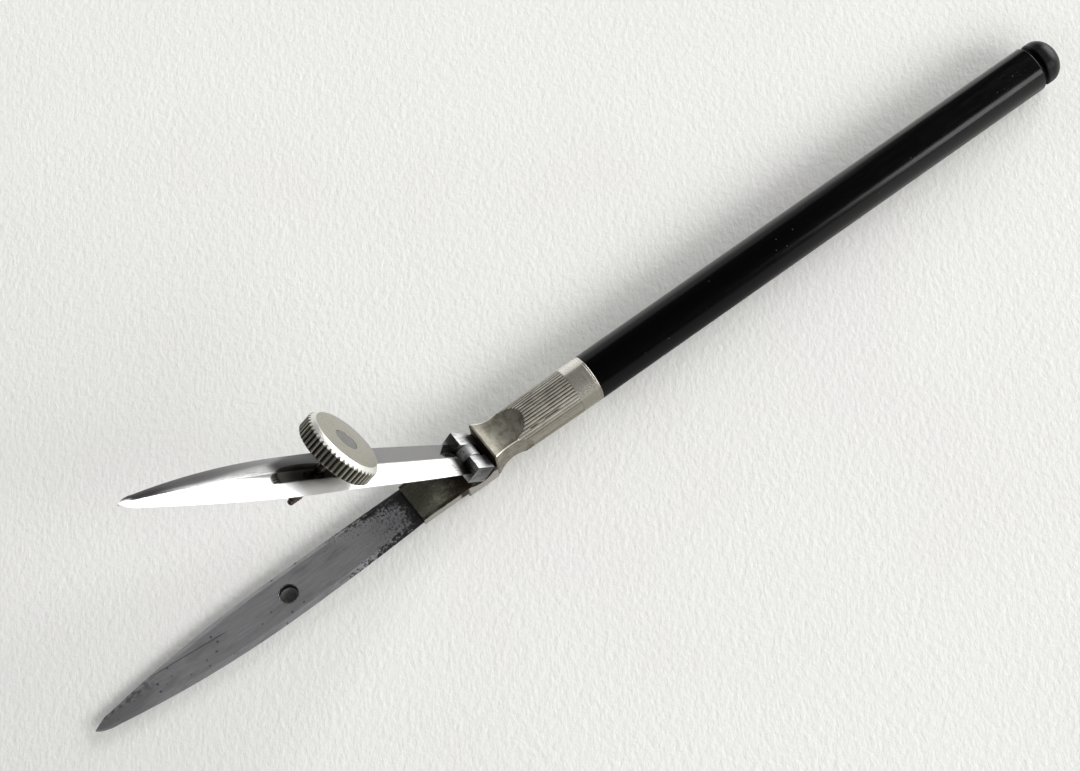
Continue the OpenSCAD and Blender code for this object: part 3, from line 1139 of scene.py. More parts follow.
@dataclass(frozen=True)
class BladeSteel(PolishedSteel):
    """Steel of the upper blade: a brushed near facet painted white as its highlight, a far facet painted
    dark as its reflection, and painted shade at the screw.

    Attributes:
        mirror_rear: Where the mirror on the near facet ends towards the hinge; outside it that facet is
            painted white as its highlight.
        mirror_front: Where it ends towards the tip.
        mirror_y: How far from the ridge it reaches.
        far_y: Where the far facet begins.
        fall_x: Where the lighter band along the ridge, which the far facet's painted dark reflection
            leaves, falls to the edge, and at which fall_y.
        highlight_wedge_x: Where the pale wedge, a painted highlight on the far facet, begins.
        tip_shade_x: Where the far facet's tip, painted dark as its reflection, begins.
        disc_shade_front: Where the painted shade of the screw's disc on the far facet ends towards the
            tip.
        disc_shade_rear: Where it ends towards the hinge.
        tip_highlight_x: Where the tip's painted highlight begins.
        root_shade_x: Where the near facet's root, painted black as the reflection of the ears, begins.
        slot_x: Where the slot, painted black as its shade, begins.
    """

    name: str = "blade_steel"
    tone: Colour = (0.31, 0.307, 0.313, 1.0)
    smooth: float = 0.07
    black: Colour = (0.012, 0.011, 0.01, 1.0)
    brushed: Colour = (0.93, 0.93, 0.94, 1.0)
    far: Colour = (0.25, 0.247, 0.254, 1.0)
    painted_far_tip: Colour = (0.09, 0.087, 0.094, 1.0)
    mirror_rear: Flat = (-21.0, -18.0)
    mirror_front: Flat = (-33.5, -37.5)
    mirror_y: float = 1.25
    mirror_in: float = 1.2
    mirror_edge: Flat = (0.08, -0.22)
    far_y: Flat = (0.02, 0.12)
    fall_x: Flat = (-46.0, -31.0)
    fall_y: Flat = (0.25, 1.75)
    far_tip_x: Flat = (-29.0, -43.0)
    far_root_x: Flat = (-19.0, -13.0)
    skew_y: Flat = (1.2, 2.9)
    skew_by: float = 3.4
    highlight_wedge_x: Flat = (-31.2, -33.0)
    tip_shade_x: Flat = (-44.0, -49.0)
    tip_shade_y: Flat = (2.0, 0.4)
    disc_shade_front: Flat = (-33.6, -31.0)
    disc_shade_rear: Flat = (-19.0, -20.5)
    tip_highlight_x: Flat = (-51.2, -52.2)
    tip_highlight_y: Flat = (0.5, 0.2)
    root_shade_x: Flat = (-4.3, -2.5)
    root_shade_y: Flat = (0.5, -0.3)
    slot_x: Flat = (-2.6, -1.9)
    slot_y: Flat = (1.6, 1.0)

    def add_stains_and_painted_light(self, g: Coat, marks: Wire, along: Wire, across: Wire) -> Tuple[Wire, Wire]:
        """Brushes the near facet and paints it white as its highlight, then paints the far one dark as
        its reflection, with shade at the screw.

        Args:
            g: The material.
            marks: Mask of the stains.
            along: Noise of the scratches.
            across: A coarser noise. It is not used.

        Returns:
            The colour and the mask of the brushed places, which carry painted highlight.
        """
        # Painted highlight: the near facet is made white, except in a mirror window along the ridge.
        wide = g.most(g.span(g.x, *self.mirror_rear), g.span(g.x, *self.mirror_front))
        brushed_highlight = g.span(g.y - (wide * self.mirror_in - self.mirror_y), *self.mirror_edge)
        colour = g.mix(marks, self.tone, self.stain)
        colour = g.mix(brushed_highlight, colour, g.mix(marks, self.brushed, self.stain))
        # Painted reflection: the far facet is made darker, darkest towards its tip.
        beyond = g.span(g.y, *self.far_y)
        slope = g.y - g.span(g.x, *self.fall_x, *self.fall_y)
        tipped = g.span(g.x, *self.far_tip_x) * g.span(slope, -0.4, 1.2, 0.3, 1.0)
        dull = g.mix(tipped, self.far, self.painted_far_tip)
        dull = g.mix(g.span(g.x, *self.far_root_x, 0.0, 0.8), dull, self.tone)
        colour = g.mix(beyond * g.span(marks, 1.0, 0.0), colour, dull)
        # Painted highlight: a pale wedge on the far facet.
        skew = g.x - g.span(g.y, *self.skew_y, 0.0, self.skew_by)
        pale = g.span(slope, 0.3, -0.5) * g.span(skew, *self.highlight_wedge_x)
        pale = pale * beyond * g.span(along, 0.3, 0.6, 0.75, 1.0)
        colour = g.mix(pale, colour, self.pale)
        # Painted reflection: the far facet's tip is made dark.
        dark = beyond * g.span(g.x, *self.tip_shade_x) * g.span(g.y, *self.tip_shade_y, 0.5, 0.95)
        # Painted shade: a dark patch on the far facet below the screw's disc.
        painted_disc_shade = g.span(skew, *self.disc_shade_front) * g.span(g.x, *self.disc_shade_rear) * beyond
        colour = g.mix(g.most(dark, painted_disc_shade), colour, self.painted_dark)
        # Painted highlight: the tip is made white.
        point = g.span(g.x, *self.tip_highlight_x) * g.span(g.y, *self.tip_highlight_y)
        colour = g.mix(point, colour, self.brushed)
        # Painted reflection and shade: the near facet's root and the slot are made black.
        painted_root_shade = g.span(g.x, *self.root_shade_x) * g.span(g.y, *self.root_shade_y)
        slot = g.span(g.x, *self.slot_x) * g.span(abs(g.y), *self.slot_y)
        return g.mix(g.most(painted_root_shade, slot), colour, self.black), g.most(brushed_highlight, point, pale * 0.6)


@dataclass(frozen=True)
class EarSteel(PolishedSteel):
    """Steel of the two ears: end faces painted dark as their shade, and a pale brushed top, painted pale
    as its highlight, that is worn in places.

    Attributes:
        end_y: Where the end faces begin.
        slant: Sums of place and height between which the painted shade on the end faces deepens.
        top_z: Heights at which the top begins.
        worn_x: Where the top is worn.
    """

    name: str = "ear_steel"
    tone: Colour = grey(0.42)
    smooth: float = 0.18
    end_y: Flat = (2.9, 2.97)
    slant: Flat = (-1.8, 1.8)
    top_z: Flat = (1.15, 1.2)
    worn_x: Flat = (0.6, -0.9)

    def add_stains_and_painted_light(self, g: Coat, marks: Wire, along: Wire, across: Wire) -> Tuple[Wire, Wire]:
        """Paints shade on the ends and brushes the top, which is painted pale as its highlight.

        Args:
            g: The material.
            marks: Mask of the stains.
            along: Noise of the scratches. It is not used.
            across: A coarser noise.

        Returns:
            The colour and the mask of the brushed places, which carry painted highlight.
        """
        end = g.span(abs(g.y), *self.end_y)
        colour = g.mix(marks, self.tone, self.stain)
        # Painted shade: the end faces are darkened, graded by place and height.
        colour = g.mix(end * g.span(g.x + g.z, *self.slant, 0.45, 0.96), colour, self.painted_dark)
        top = g.span(g.z, *self.top_z) * g.span(end, 1.0, 0.0)
        worn = g.span(across, 0.5, 0.68) * g.span(g.x, *self.worn_x)
        brushed_highlight = top * g.span(worn, 1.0, 0.0)
        # Painted highlight: the brushed top is made pale, except where it is worn.
        painted_shine = g.mix(g.span(across, 0.36, 0.6), self.pale, self.tone)
        return g.mix(brushed_highlight, colour, painted_shine), brushed_highlight


@dataclass(frozen=True)
class DullSteel:
    """Dull grey steel of the lower blade: ground lengthwise, pitted and blackened at the heel.

    Distances named back run from the heel towards the tip.

    Attributes:
        heel_x: Where the blade's square heel lies.
        hole: Distance of the screw hole from the hinge and its radius.
        scratch_start: Start of one long scratch.
        scratch_end: Its end.
        pit_limit: Grain above which the steel is pitted, before any place lowers it.
        rim_from: Distances from the hole's edge at which its bright rim, a painted highlight, begins;
            nearer than these the bore is painted black as its shade.
        rim_to: Distances at which the rim ends.
    """

    heel_x: float
    hole: Flat
    tone: Colour = (0.44, 0.44, 0.452, 1.0)
    dark: Colour = (0.2, 0.2, 0.205, 1.0)
    black: Colour = (0.006, 0.006, 0.006, 1.0)
    bright: Colour = (0.8, 0.8, 0.8, 1.0)
    scratch_start: Flat = (-34.8, 0.74)
    scratch_end: Flat = (-45.4, 1.69)
    scratch_half: Flat = (0.09, 0.03)
    pit_limit: float = 0.72
    dark_back: Tuple[Flat, Flat] = ((10.0, 0.0), (35.0, 42.0))
    pits_back: Flat = (15.0, 0.5)
    heel_back: Flat = (2.0, 0.0)
    band_back: Flat = (0.34, 0.2)
    far_back: Flat = (24.0, 3.0)
    far_y: Flat = (0.4, 2.9)
    near_back: Flat = (24.0, 5.0)
    near_y: Flat = (-1.6, -2.9)
    rim_from: Flat = (0.03, 0.05)
    rim_to: Flat = (0.18, 0.14)
    under_r: Flat = (1.8, 1.7)
    under_z: Flat = (0.98, 0.9)
    tip_x: Flat = (-43.5, -46.5)
    tip_y: Flat = (0.0, 0.9)

    def build(self) -> bpy.types.Material:
        """Builds the finish.

        Returns:
            The material.
        """
        g = Coat("dull_steel")
        back = self.heel_x - g.x
        grind = g.noise(g.place((16.0, 1.0, 1.0)), 6.0, 5.0, 0.7)
        patches = g.noise(g.place((2.5, 1.0, 1.0)), 0.5, 4.0, 0.6)
        shade = g.span(grind, 0.3, 0.7, 0.0, 0.55) + g.span(patches, 0.45, 0.75, 0.0, 0.45)
        heel, tip = self.dark_back
        ends = g.most(g.span(back, *heel, 0.0, 0.7), g.span(back, *tip, 0.0, 0.65))
        colour = g.mix(ends, g.mix(shade, self.tone, self.dark), self.dark)
        past = g.reach(g.x + self.hole[0], g.y) - self.hole[1]
        # Painted highlight: a pale ring on the hole's rounded rim.
        rim = g.span(past, *self.rim_from) * g.span(past, *self.rim_to)
        # Painted shade: the bore's wall is made black.
        black = g.most(self.pits(g, back), self.stains(g, patches), g.span(past, *self.rim_from[::-1]))
        colour = g.mix(rim, g.mix(black, colour, self.black), self.bright)
        rough = g.span(grind, 0.3, 0.7, 0.36, 0.5) + black * 0.3 - rim * 0.2
        metal = g.most(g.span(black, 0.2, 0.9, 0.6, 0.2), rim)
        normal = g.bump(1.0 - black, 0.03, 0.7, Normal=g.bump(grind, 0.006, 0.6))
        return g.dress(colour, rough, normal, metallic=metal)

    def pits(self, g: Coat, back: Wire) -> Wire:
        """Draws the pits, dense at the heel and along both sides, as a mask.

        Args:
            g: The material.
            back: Distance from the heel.

        Returns:
            The mask.
        """
        far = g.span(g.y, *self.far_y) * g.span(back, *self.far_back)
        near = g.span(g.y, *self.near_y) * g.span(back, *self.near_back)
        dense = g.span(back, *self.pits_back) * 0.21 + far * 0.16 + near * 0.16
        dense = dense + g.span(back, *self.heel_back, 0.0, 0.14)
        grain = g.noise(g.here, 2.6, 6.0, 0.84)
        pits = g.span(grain - (self.pit_limit - dense), -0.05, 0.07)
        return g.most(pits, g.span(back, *self.band_back))

    def stains(self, g: Coat, patches: Wire) -> Wire:
        """Draws stray pits, the painted shade below the hole, one scratch and the smudged tip as a mask.

        Args:
            g: The material.
            patches: A noise.

        Returns:
            The mask.
        """
        stray = g.span(g.cells(g.here, 0.9), 0.2, 0.08) * g.span(patches, 0.47, 0.56)
        out = g.reach(g.x + self.hole[0], g.y)
        # Painted shade: the underside round the hole is made black.
        under = g.span(out, *self.under_r) * g.span(g.z, *self.under_z)
        tip = g.span(g.x, *self.tip_x) * g.span(g.y, *self.tip_y)
        smudge = tip * g.span(g.noise(g.here, 1.5, 3.0), 0.4, 0.62)
        return g.most(stray * 0.8, under, self.scratch(g) * 0.8, smudge * 0.7)

    def scratch(self, g: Coat) -> Wire:
        """Draws one long scratch as a mask.

        Args:
            g: The material.

        Returns:
            The mask.
        """
        run = Vector(self.scratch_end) - Vector(self.scratch_start)
        unit = run.normalized()
        dx = g.x - self.scratch_start[0]
        dy = g.y - self.scratch_start[1]
        along = dx * unit.x + dy * unit.y
        off = dx * -unit.y + dy * unit.x
        ends = g.span(along, -0.5, 0.5) * g.span(along, run.length, run.length - 1.5)
        return g.span(abs(off), *self.scratch_half) * ends


@dataclass(frozen=True)
class DarkSteel:
    """Dark granular steel of the knuckle and the tang.

    Attributes:
        name: The material's name.
        tone: Colour of the steel.
        grime: Colour in the hollows.
    """

    name: str
    tone: Colour = (0.34, 0.34, 0.345, 1.0)
    grime: Colour = (0.06, 0.055, 0.05, 1.0)
    metal: float = 0.6

    def build(self) -> bpy.types.Material:
        """Builds the finish.

        Returns:
            The material.
        """
        g = Coat(self.name)
        grain = g.noise(g.here, 5.0, 4.0, 0.65)
        dirt = g.span(grain, 0.48, 0.66) * g.span(g.noise(g.here, 1.2), 0.3, 0.6)
        colour = g.mix(dirt, self.tone, self.grime)
        return g.dress(colour, 0.42 + dirt * 0.25, g.bump(grain, 0.02, 0.6), metallic=self.metal)


@dataclass(frozen=True)
class ScrewSteel:
    """Steel of the screw: a clean satin plug in the disc and a browned thread below.

    Attributes:
        face_z: Height of the plug's face along the screw.
        plug_in: How far below the face the plug begins.
    """

    face_z: float
    plug: Colour = (0.22, 0.22, 0.212, 1.0)
    plug_dark: Colour = grey(0.2, 0.02)
    brown: Colour = (0.075, 0.058, 0.05, 1.0)
    bare: Colour = (0.2, 0.17, 0.15, 1.0)
    plug_in: Flat = (1.0, 0.5)

    def build(self) -> bpy.types.Material:
        """Builds the finish.

        Returns:
            The material.
        """
        g = Coat.on_screw("screw_steel")
        grain = g.noise(g.here, 4.0, 3.0, 0.6)
        thread = g.mix(g.span(grain, 0.45, 0.7), self.brown, self.bare)
        plug = g.mix(g.span(g.noise(g.here, 1.5, 3.0), 0.3, 0.7), self.plug, self.plug_dark)
        colour = g.mix(g.span(self.face_z - g.z, *self.plug_in), thread, plug)
        rough = g.span(grain, 0.3, 0.7, 0.27, 0.4)
        return g.dress(colour, rough, g.bump(grain, 0.006, 0.4), metallic=1.0)


@dataclass(frozen=True)
class DiscNickel:
    """Nickel silver of the thumb disc: turned face, polished bevel painted pale as its highlight, black
    in the knurl, and an underside painted with light and shade.

    Heights run up the screw, and radii are those about it.

    Attributes:
        rim_r: Radius over the knurl.
        depth: Depth of the knurl.
        face_r: Radius of the flat face.
        bottom_z: Height of the underside.
        knurl_z: Heights at which the knurl ends.
        land_z: Heights at which the lands of the knurl end.
        under_r: Radii between which the underside's painted shade gives way to a lighter rim.
        near_y: Where the pale near part of the underside, a painted light, begins.
    """

    rim_r: float
    depth: float
    face_r: float
    bottom_z: float
    tone: Colour = (0.4, 0.386, 0.332, 1.0)
    tone_dark: Colour = grey(0.37, 0.17)
    pale: Colour = (0.84, 0.83, 0.785, 1.0)
    land: Colour = (0.42, 0.40, 0.33, 1.0)
    under: Colour = (0.1, 0.098, 0.085, 1.0)
    rim_under: Colour = (0.42, 0.415, 0.36, 1.0)
    painted_near_underside: Colour = (0.85, 0.84, 0.8, 1.0)
    grime: Colour = (0.012, 0.01, 0.008, 1.0)
    face_edge: Flat = (-0.06, 0.04)
    groove_from: Flat = (0.35, 0.75)
    groove_to: Flat = (2.2, 1.6)
    knurl_z: Flat = (4.36, 4.22)
    land_z: Flat = (4.4, 4.3)
    bottom_w: Flat = (0.12, 0.04)
    under_r: Flat = (2.4, 4.4)
    under_lip: Flat = (0.36, 0.28)
    near_y: Flat = (-0.6, -2.6)

    def build(self) -> bpy.types.Material:
        """Builds the finish.

        Returns:
            The material.
        """
        g = Coat.on_screw("disc_nickel_silver")
        out = g.reach(g.x, g.y)
        rings = g.noise(g.node("ShaderNodeCombineXYZ", {0: out * 6.0, 1: g.z}), 1.0, 3.0)
        patches = g.noise(g.here, 0.6, 3.0, 0.6)
        bevel = g.span(out - self.face_r, *self.face_edge)
        starts, ends = ([w * self.depth for w in pair] for pair in (self.groove_from, self.groove_to))
        sunk = self.rim_r - out
        groove = g.span(sunk, *starts) * g.span(g.z, *self.knurl_z) * g.span(sunk, *ends)
        colour = g.mix(g.span(patches, 0.3, 0.75), self.tone, self.tone_dark)
        # Painted highlight: the polished bevel is made pale.
        colour = g.mix(bevel, colour, self.pale)
        colour = g.mix(bevel * g.span(g.z, *self.land_z), colour, self.land)
        colour = g.mix(groove, colour, self.grime)
        lowest = g.span(g.z - self.bottom_z, *self.bottom_w)
        # Painted light and shade on the underside: dark in the middle and at the lip, lighter towards
        # the rim, pale on the near side.
        below = g.mix(g.span(out, *self.under_r), self.under, self.rim_under)
        below = g.mix(g.span(g.y, *self.near_y), below, self.painted_near_underside)
        below = g.mix(g.span(sunk, *self.under_lip), below, self.under)
        colour = g.mix(lowest, colour, below)
        rough = g.span(rings, 0.3, 0.7, 0.26, 0.3) + bevel * 0.08 + g.most(groove, lowest) * 0.3
        metal = g.span(groove, 0.3, 0.9, 1.0, 0.3) * g.span(bevel, 0.0, 1.0, 1.0, 0.9)
        metal = metal * g.span(lowest, 0.0, 1.0, 1.0, 0.25)
        return g.dress(colour, rough, g.bump(rings, 0.0015, 0.4), metallic=metal)


@dataclass(frozen=True)
class Paper:
    """Off-white drawing paper with a soft felt texture and painted shade towards the tip of the pen.

    Attributes:
        shade_x: Where the paper's painted shade deepens towards the tip of the pen.
        sheen: How much of the usual gloss it has.
    """

    tone: Colour = (0.92, 0.925, 0.89, 1.0)
    cloudy: Colour = grey(0.9, 0.03)
    shade: Colour = (0.74, 0.74, 0.72, 1.0)
    shade_x: Flat = (10.0, -120.0)
    fibre_deg: float = 60.0
    sheen: float = 0.08
    rough: float = 0.9

    def build(self) -> bpy.types.Material:
        """Builds the finish.

        Returns:
            The material.
        """
        g = Coat("drawing_paper")
        felt = g.noise(g.here, 1.0, 3.0, 0.55)
        fibre = g.noise(g.place((2.4, 1.0, 1.0), self.fibre_deg), 2.2, 3.0, 0.6)
        colour = g.mix(g.span(g.noise(g.here, 0.03, 3.0), 0.3, 0.7), self.tone, self.cloudy)
        # Painted shade: the paper is darkened towards the pen's tip.
        colour = g.mix(g.span(g.x, *self.shade_x, 0.0, 0.7), colour, self.shade)
        normal = g.bump(felt * 0.6 + fibre * 0.4, 0.13, 1.0)
        return g.dress(colour, self.rough, normal, specular_ior_level=self.sheen)


@dataclass
class Handle:
    """Black handle and its end knob, turned about the pen axis."""

    ease: float = 0.14
    tang_r: float = 1.2
    tang_depth: float = 15.0
    tenon_r: float = 1.4
    tenon_depth: float = 7.0
    groove_w: float = 0.75
    neck_r: float = 2.2
    knob_straight: float = 0.8
    knob_smooth: float = 0.36
    steps: int = 128
    dome_points: int = 20

    def build(self) -> None:
        """Turns the handle and the knob and dresses them."""
        low, high = box_mm("handle")
        r = radius_mm("handle")
        outline = [
            (low.x + self.tang_depth, 0.0),
            (low.x + self.tang_depth, self.tang_r),
            (low.x, self.tang_r),
            (low.x, r - 0.5 * self.ease),
            (low.x + 0.5 * self.ease, r),
            *rounded(high.x, r, self.ease),
            (high.x, self.tenon_r),
            (high.x - self.tenon_depth, self.tenon_r),
            (high.x - self.tenon_depth, 0.0),
        ]
        piece = Bench.lathe("black_handle", outline, self.steps)
        black = BlackEbonite().build()
        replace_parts(Bench.settle(piece, Body.HOLDER, Slot.BLACK, black, edge_deg=30), "handle")
        self.build_knob(high.x)

    def build_knob(self, groove_x: float) -> None:
        """Turns the knob, which is duller than the handle.

        Args:
            groove_x: Where the handle ends and the groove begins.
        """
        low, high = box_mm("end_knob")
        r = radius_mm("end_knob")
        base = groove_x + self.groove_w
        dome = high.x - base - self.knob_straight
        outline = [
            (low.x, 0.0),
            (low.x, self.tenon_r),
            (groove_x, self.tenon_r),
            (groove_x, self.neck_r),
            (base, self.neck_r),
            (base, r - self.ease),
            (base + self.ease, r),
        ]
        for i in range(self.dome_points + 1):
            t = i * math.pi / 2 / self.dome_points
            outline.append((base + self.knob_straight + dome * math.sin(t), r * math.cos(t)))
        piece = Bench.lathe("end_knob_dome", outline, self.steps)
        black = BlackEbonite("dull_ebonite", self.knob_smooth).build()
        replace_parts(Bench.settle(piece, Body.HOLDER, Slot.BLACK, black, edge_deg=35), "end_knob")


@dataclass
class Grip:
    """Nickel silver collar and fluted grip with its scooped neck and square head.

    Attributes:
        line_x: Start, bed and end of the collar's fine line, from its rear.
        flute_half: Half of a flute's share of its pitch.
        shallow: Depth of the flutes on the near side, as a share.
        shallow_deg: Angles between which they reach their full depth.
        rod_z: Ends of the rods that cut the side scoops.
        rod_half: Half the length of those that cut the top and bottom scoops.
        rim_near: Distance from the front face that counts as on it.
        scoop_near: Distance from a scoop that counts as in it.
        land_below: How far below the lands a face of the flutes lies at most.
    """

    bore_r: float = 2.2
    lip: float = 0.16
    front_ease: float = 0.05
    line_x: Point = (0.35, 0.3, 0.26)
    line_depth: float = 0.03
    steps: int = 160
    flutes: int = 46
    flute_points: int = 8
    flute_depth: float = 0.13
    flute_half: float = 0.34
    shallow: float = 0.25
    shallow_deg: Flat = (15.0, 70.0)
    front_r: float = 2.88
    body_x: float = 5.5
    neck_x: float = 4.9
    neck_half: float = 2.2
    neck_top: float = 1.85
    neck_low: float = 1.3
    side_r: float = 5.6
    top_r: float = 5.2
    top_x: float = 5.0
    rod_z: Flat = (-2.0, 9.0)
    rod_half: float = 6.0
    rod_steps: int = 192
    head_half: float = 2.7
    head_top: float = 2.45
    head_end: float = 6.1
    head_flare: float = 1.7
    rim_ease: float = 0.07
    rim_deg: float = 35.0
    rim_behind: float = 1.2
    rim_near: float = 0.01
    scoop_near: float = 0.02
    land_below: float = 0.2
    spigot_r: float = 2.19
    spigot_in: float = 0.5

    def build(self) -> None:
        """Builds the collar and the grip."""
        self.build_collar()
        self.build_grip()

    def build_collar(self) -> None:
        """Turns the collar with its rounded rear rim."""
        low, high = box_mm("collar_band")
        r = radius_mm("collar_band")
        start, bed, end = (high.x - away for away in self.line_x)
        outline = [
            (low.x, self.bore_r),
            (low.x, r - self.front_ease),
            (low.x + self.front_ease, r),
            (start, r),
            (bed, r - self.line_depth),
            (end, r),
            *rounded(high.x, r, self.lip),
            (high.x, self.bore_r),
            (low.x, self.bore_r),
        ]
        piece = Bench.lathe("collar_ring", outline, self.steps)
        finish = CollarNickel().build()
        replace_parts(Bench.settle(piece, Body.HOLDER, Slot.NICKEL, finish, edge_deg=25), "collar_band")

    def fluted(self, x: float, r: float, turn: float) -> Point:
        """Gives a point on a ring of the fluted body, whose flutes are shallow on the near side.

        Args:
            x: Place along the pen.
            r: Radius over the lands.
            turn: Angle from the near side, through the top, in radians.

        Returns:
            The point.
        """
        share = (turn / FULL_TURN * self.flutes) % 1.0
        dip = max(0.0, 1.0 - abs(share - 0.5) / self.flute_half)
        start, end = self.shallow_deg
        rise = min(1.0, max(0.0, (math.degrees(turn) - start) / (end - start)))
        drop = self.flute_depth * dip * (self.shallow + (1.0 - self.shallow) * rise)
        return about_pen(x, r - drop, turn)

    def cross_scoops(self) -> Flat:
        """Gives the heights of the middles of the top and bottom scoops."""
        top = PLACE.axis_z + self.neck_top + self.top_r
        return (top, PLACE.axis_z - self.neck_low - self.top_r)

    def build_grip(self) -> None:
        """Builds the fluted body, joins the head and cuts the scoops."""
        low, high = box_mm("grip")
        collar_x = box_mm("collar_band")[0].x
        end_r = radius_mm("handle")
        side_y = self.neck_half + self.side_r
        rows = [(self.body_x, self.front_r), (collar_x, end_r)]
        piece = Bench.turned("fluted_grip", self.flutes * self.flute_points, rows, self.fluted)
        high_corner = (self.head_end, self.head_half, PLACE.axis_z + self.head_top)
        head = Bench.block("head", (low.x, -self.head_half, 0.0), high_corner)
        rows = [(low.x, self.head_half + self.head_flare), (self.head_end, self.front_r)]
        Bench.cut(head, Bench.turned("flare", self.steps, rows, about_pen), Cut.COMMON)
        Bench.cut(piece, head, Cut.JOIN)
        scoops = []
        for y in (-side_y, side_y):
            scoops.append((self.side_r, [(self.neck_x, y, z) for z in self.rod_z]))
        for z in self.cross_scoops():
            scoops.append((self.top_r, [(self.top_x, y, z) for y in (-self.rod_half, self.rod_half)]))
        for r, ends in scoops:
            Bench.cut(piece, Bench.rod("scoop", r, *ends, self.rod_steps), Cut.TAKE_AWAY)
        Bench.ease(piece, self.rim_ease, steps=3, wanted=lambda edge: self.on_rim(edge, low.x))
        ends = [(collar_x - self.spigot_in, 0, PLACE.axis_z), (high.x, 0, PLACE.axis_z)]
        Bench.cut(piece, Bench.rod("spigot", self.spigot_r, *ends, steps=64), Cut.JOIN)
        finish = FlutedNickel((self.body_x, collar_x), (self.front_r, end_r), self.flute_depth).build()
        Bench.settle(piece, Body.HOLDER, Slot.NICKEL, finish, edge_deg=22)
        side = (self.neck_x, side_y, self.side_r)
        top = (self.top_x, self.cross_scoops()[0], self.top_r)
        piece.data.materials.append(ScoopedNickel(low.x, side, top).build())
        for face in piece.data.polygons:
            face.material_index = 0 if self.on_flutes(face.center * PER_MM, collar_x, end_r) else 1
        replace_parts(piece, "grip")

    def on_flutes(self, spot: Vector, collar_x: float, end_r: float) -> bool:
        """Says whether a place lies on the fluted body.

        Args:
            spot: The place.
            collar_x: Where the body ends.
            end_r: Its radius there.

        Returns:
            Whether it lies on the flutes and not in a scoop.
        """
        share = (spot.x - self.body_x) / (collar_x - self.body_x)
        floor = self.front_r + share * (end_r - self.front_r) - self.land_below
        in_side = math.hypot(spot.x - self.neck_x, abs(spot.y) - self.neck_half - self.side_r)
        in_top = min(math.hypot(spot.x - self.top_x, spot.z - z) for z in self.cross_scoops())
        clear = min(in_side - self.side_r, in_top - self.top_r) > self.scoop_near
        return clear and share > 0 and math.hypot(spot.y, spot.z - PLACE.axis_z) > floor

    def on_rim(self, edge: bmesh.types.BMEdge, front: float) -> bool:
        """Says whether an edge lies on the head's front rim or between two scoops.

        Args:
            edge: The edge.
            front: Where the head's front face lies.

        Returns:
            Whether the edge is rounded.
        """
        first, second = (v.co.x for v in edge.verts)
        if not Bench.sharper(self.rim_deg)(edge):
            return False
        if max(abs(first - front), abs(second - front)) < self.rim_near:
            return True
        return max(first, second) < self.body_x + self.rim_behind


@dataclass
class Hinge:
    """Lower arm, centre knuckle, pin and the two ears of the upper blade."""

    arm_ease: float = 0.07
    knuckle_ease: float = 0.08
    ear_half_len: float = 1.48
    ear_half_w: float = 3.0
    ear_half_h: float = 1.24
    slot_half: float = 0.86
    ear_ease: float = 0.1
    pin_r: float = 0.45
    pin_inset: float = 0.06
    pin_ease: float = 0.08

    def build(self) -> None:
        """Builds the pieces of the hinge."""
        arm = Bench.copy_of("lower_arm", "arm_with_cheeks")
        Bench.ease(arm, self.arm_ease, steps=2, wanted=Bench.sharper(40))
        nickel = ArmNickel().build()
        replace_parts(Bench.settle(arm, Body.HOLDER, Slot.NICKEL, nickel, edge_deg=30), "lower_arm")
        knuckle = Bench.copy_of("centre_knuckle", "knuckle")
        Bench.ease(knuckle, self.knuckle_ease, steps=2, wanted=Bench.sharper(50))
        dark = DarkSteel("knuckle_steel").build()
        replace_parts(Bench.settle(knuckle, Body.HOLDER, Slot.DULL, dark, edge_deg=30), "centre_knuckle")
        steel = EarSteel().build()
        self.build_ears(steel)
        self.build_pin(steel)

    def build_ears(self, steel: bpy.types.Material) -> None:
        """Builds one ear as a block with eased edges, and copies it to the far side.

        Args:
            steel: Their finish.
        """
        low = (-self.ear_half_len, -self.ear_half_w, -self.ear_half_h)
        near = Bench.block("near_ear", low, (self.ear_half_len, -self.slot_half, self.ear_half_h))
        Bench.ease(near, self.ear_ease, steps=3, wanted=lambda edge: True)
        across = Matrix.Translation((0.0, self.slot_half + self.ear_half_w, 0.0))
        for ear in (near, Bench.twin(near, "far_ear", across)):
            Bench.move(ear, PLACE.opened())
            Bench.settle(ear, Body.BLADE, Slot.BRIGHT, steel, edge_deg=30)

    def build_pin(self, steel: bpy.types.Material) -> None:
        """Builds the pin, which is riveted over and ends just inside the ears.

        Args:
            steel: Its finish.
        """
        half = self.ear_half_w - self.pin_inset
        ends = [(0, y, PLACE.hinge_z) for y in (-half, half)]
        pin = Bench.rod("riveted_pin", self.pin_r, *ends, steps=48)
        Bench.ease(pin, self.pin_ease, steps=2, wanted=Bench.sharper(60))
        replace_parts(Bench.settle(pin, Body.BLADE, Slot.BRIGHT, steel, edge_deg=30), "hinge_pin")


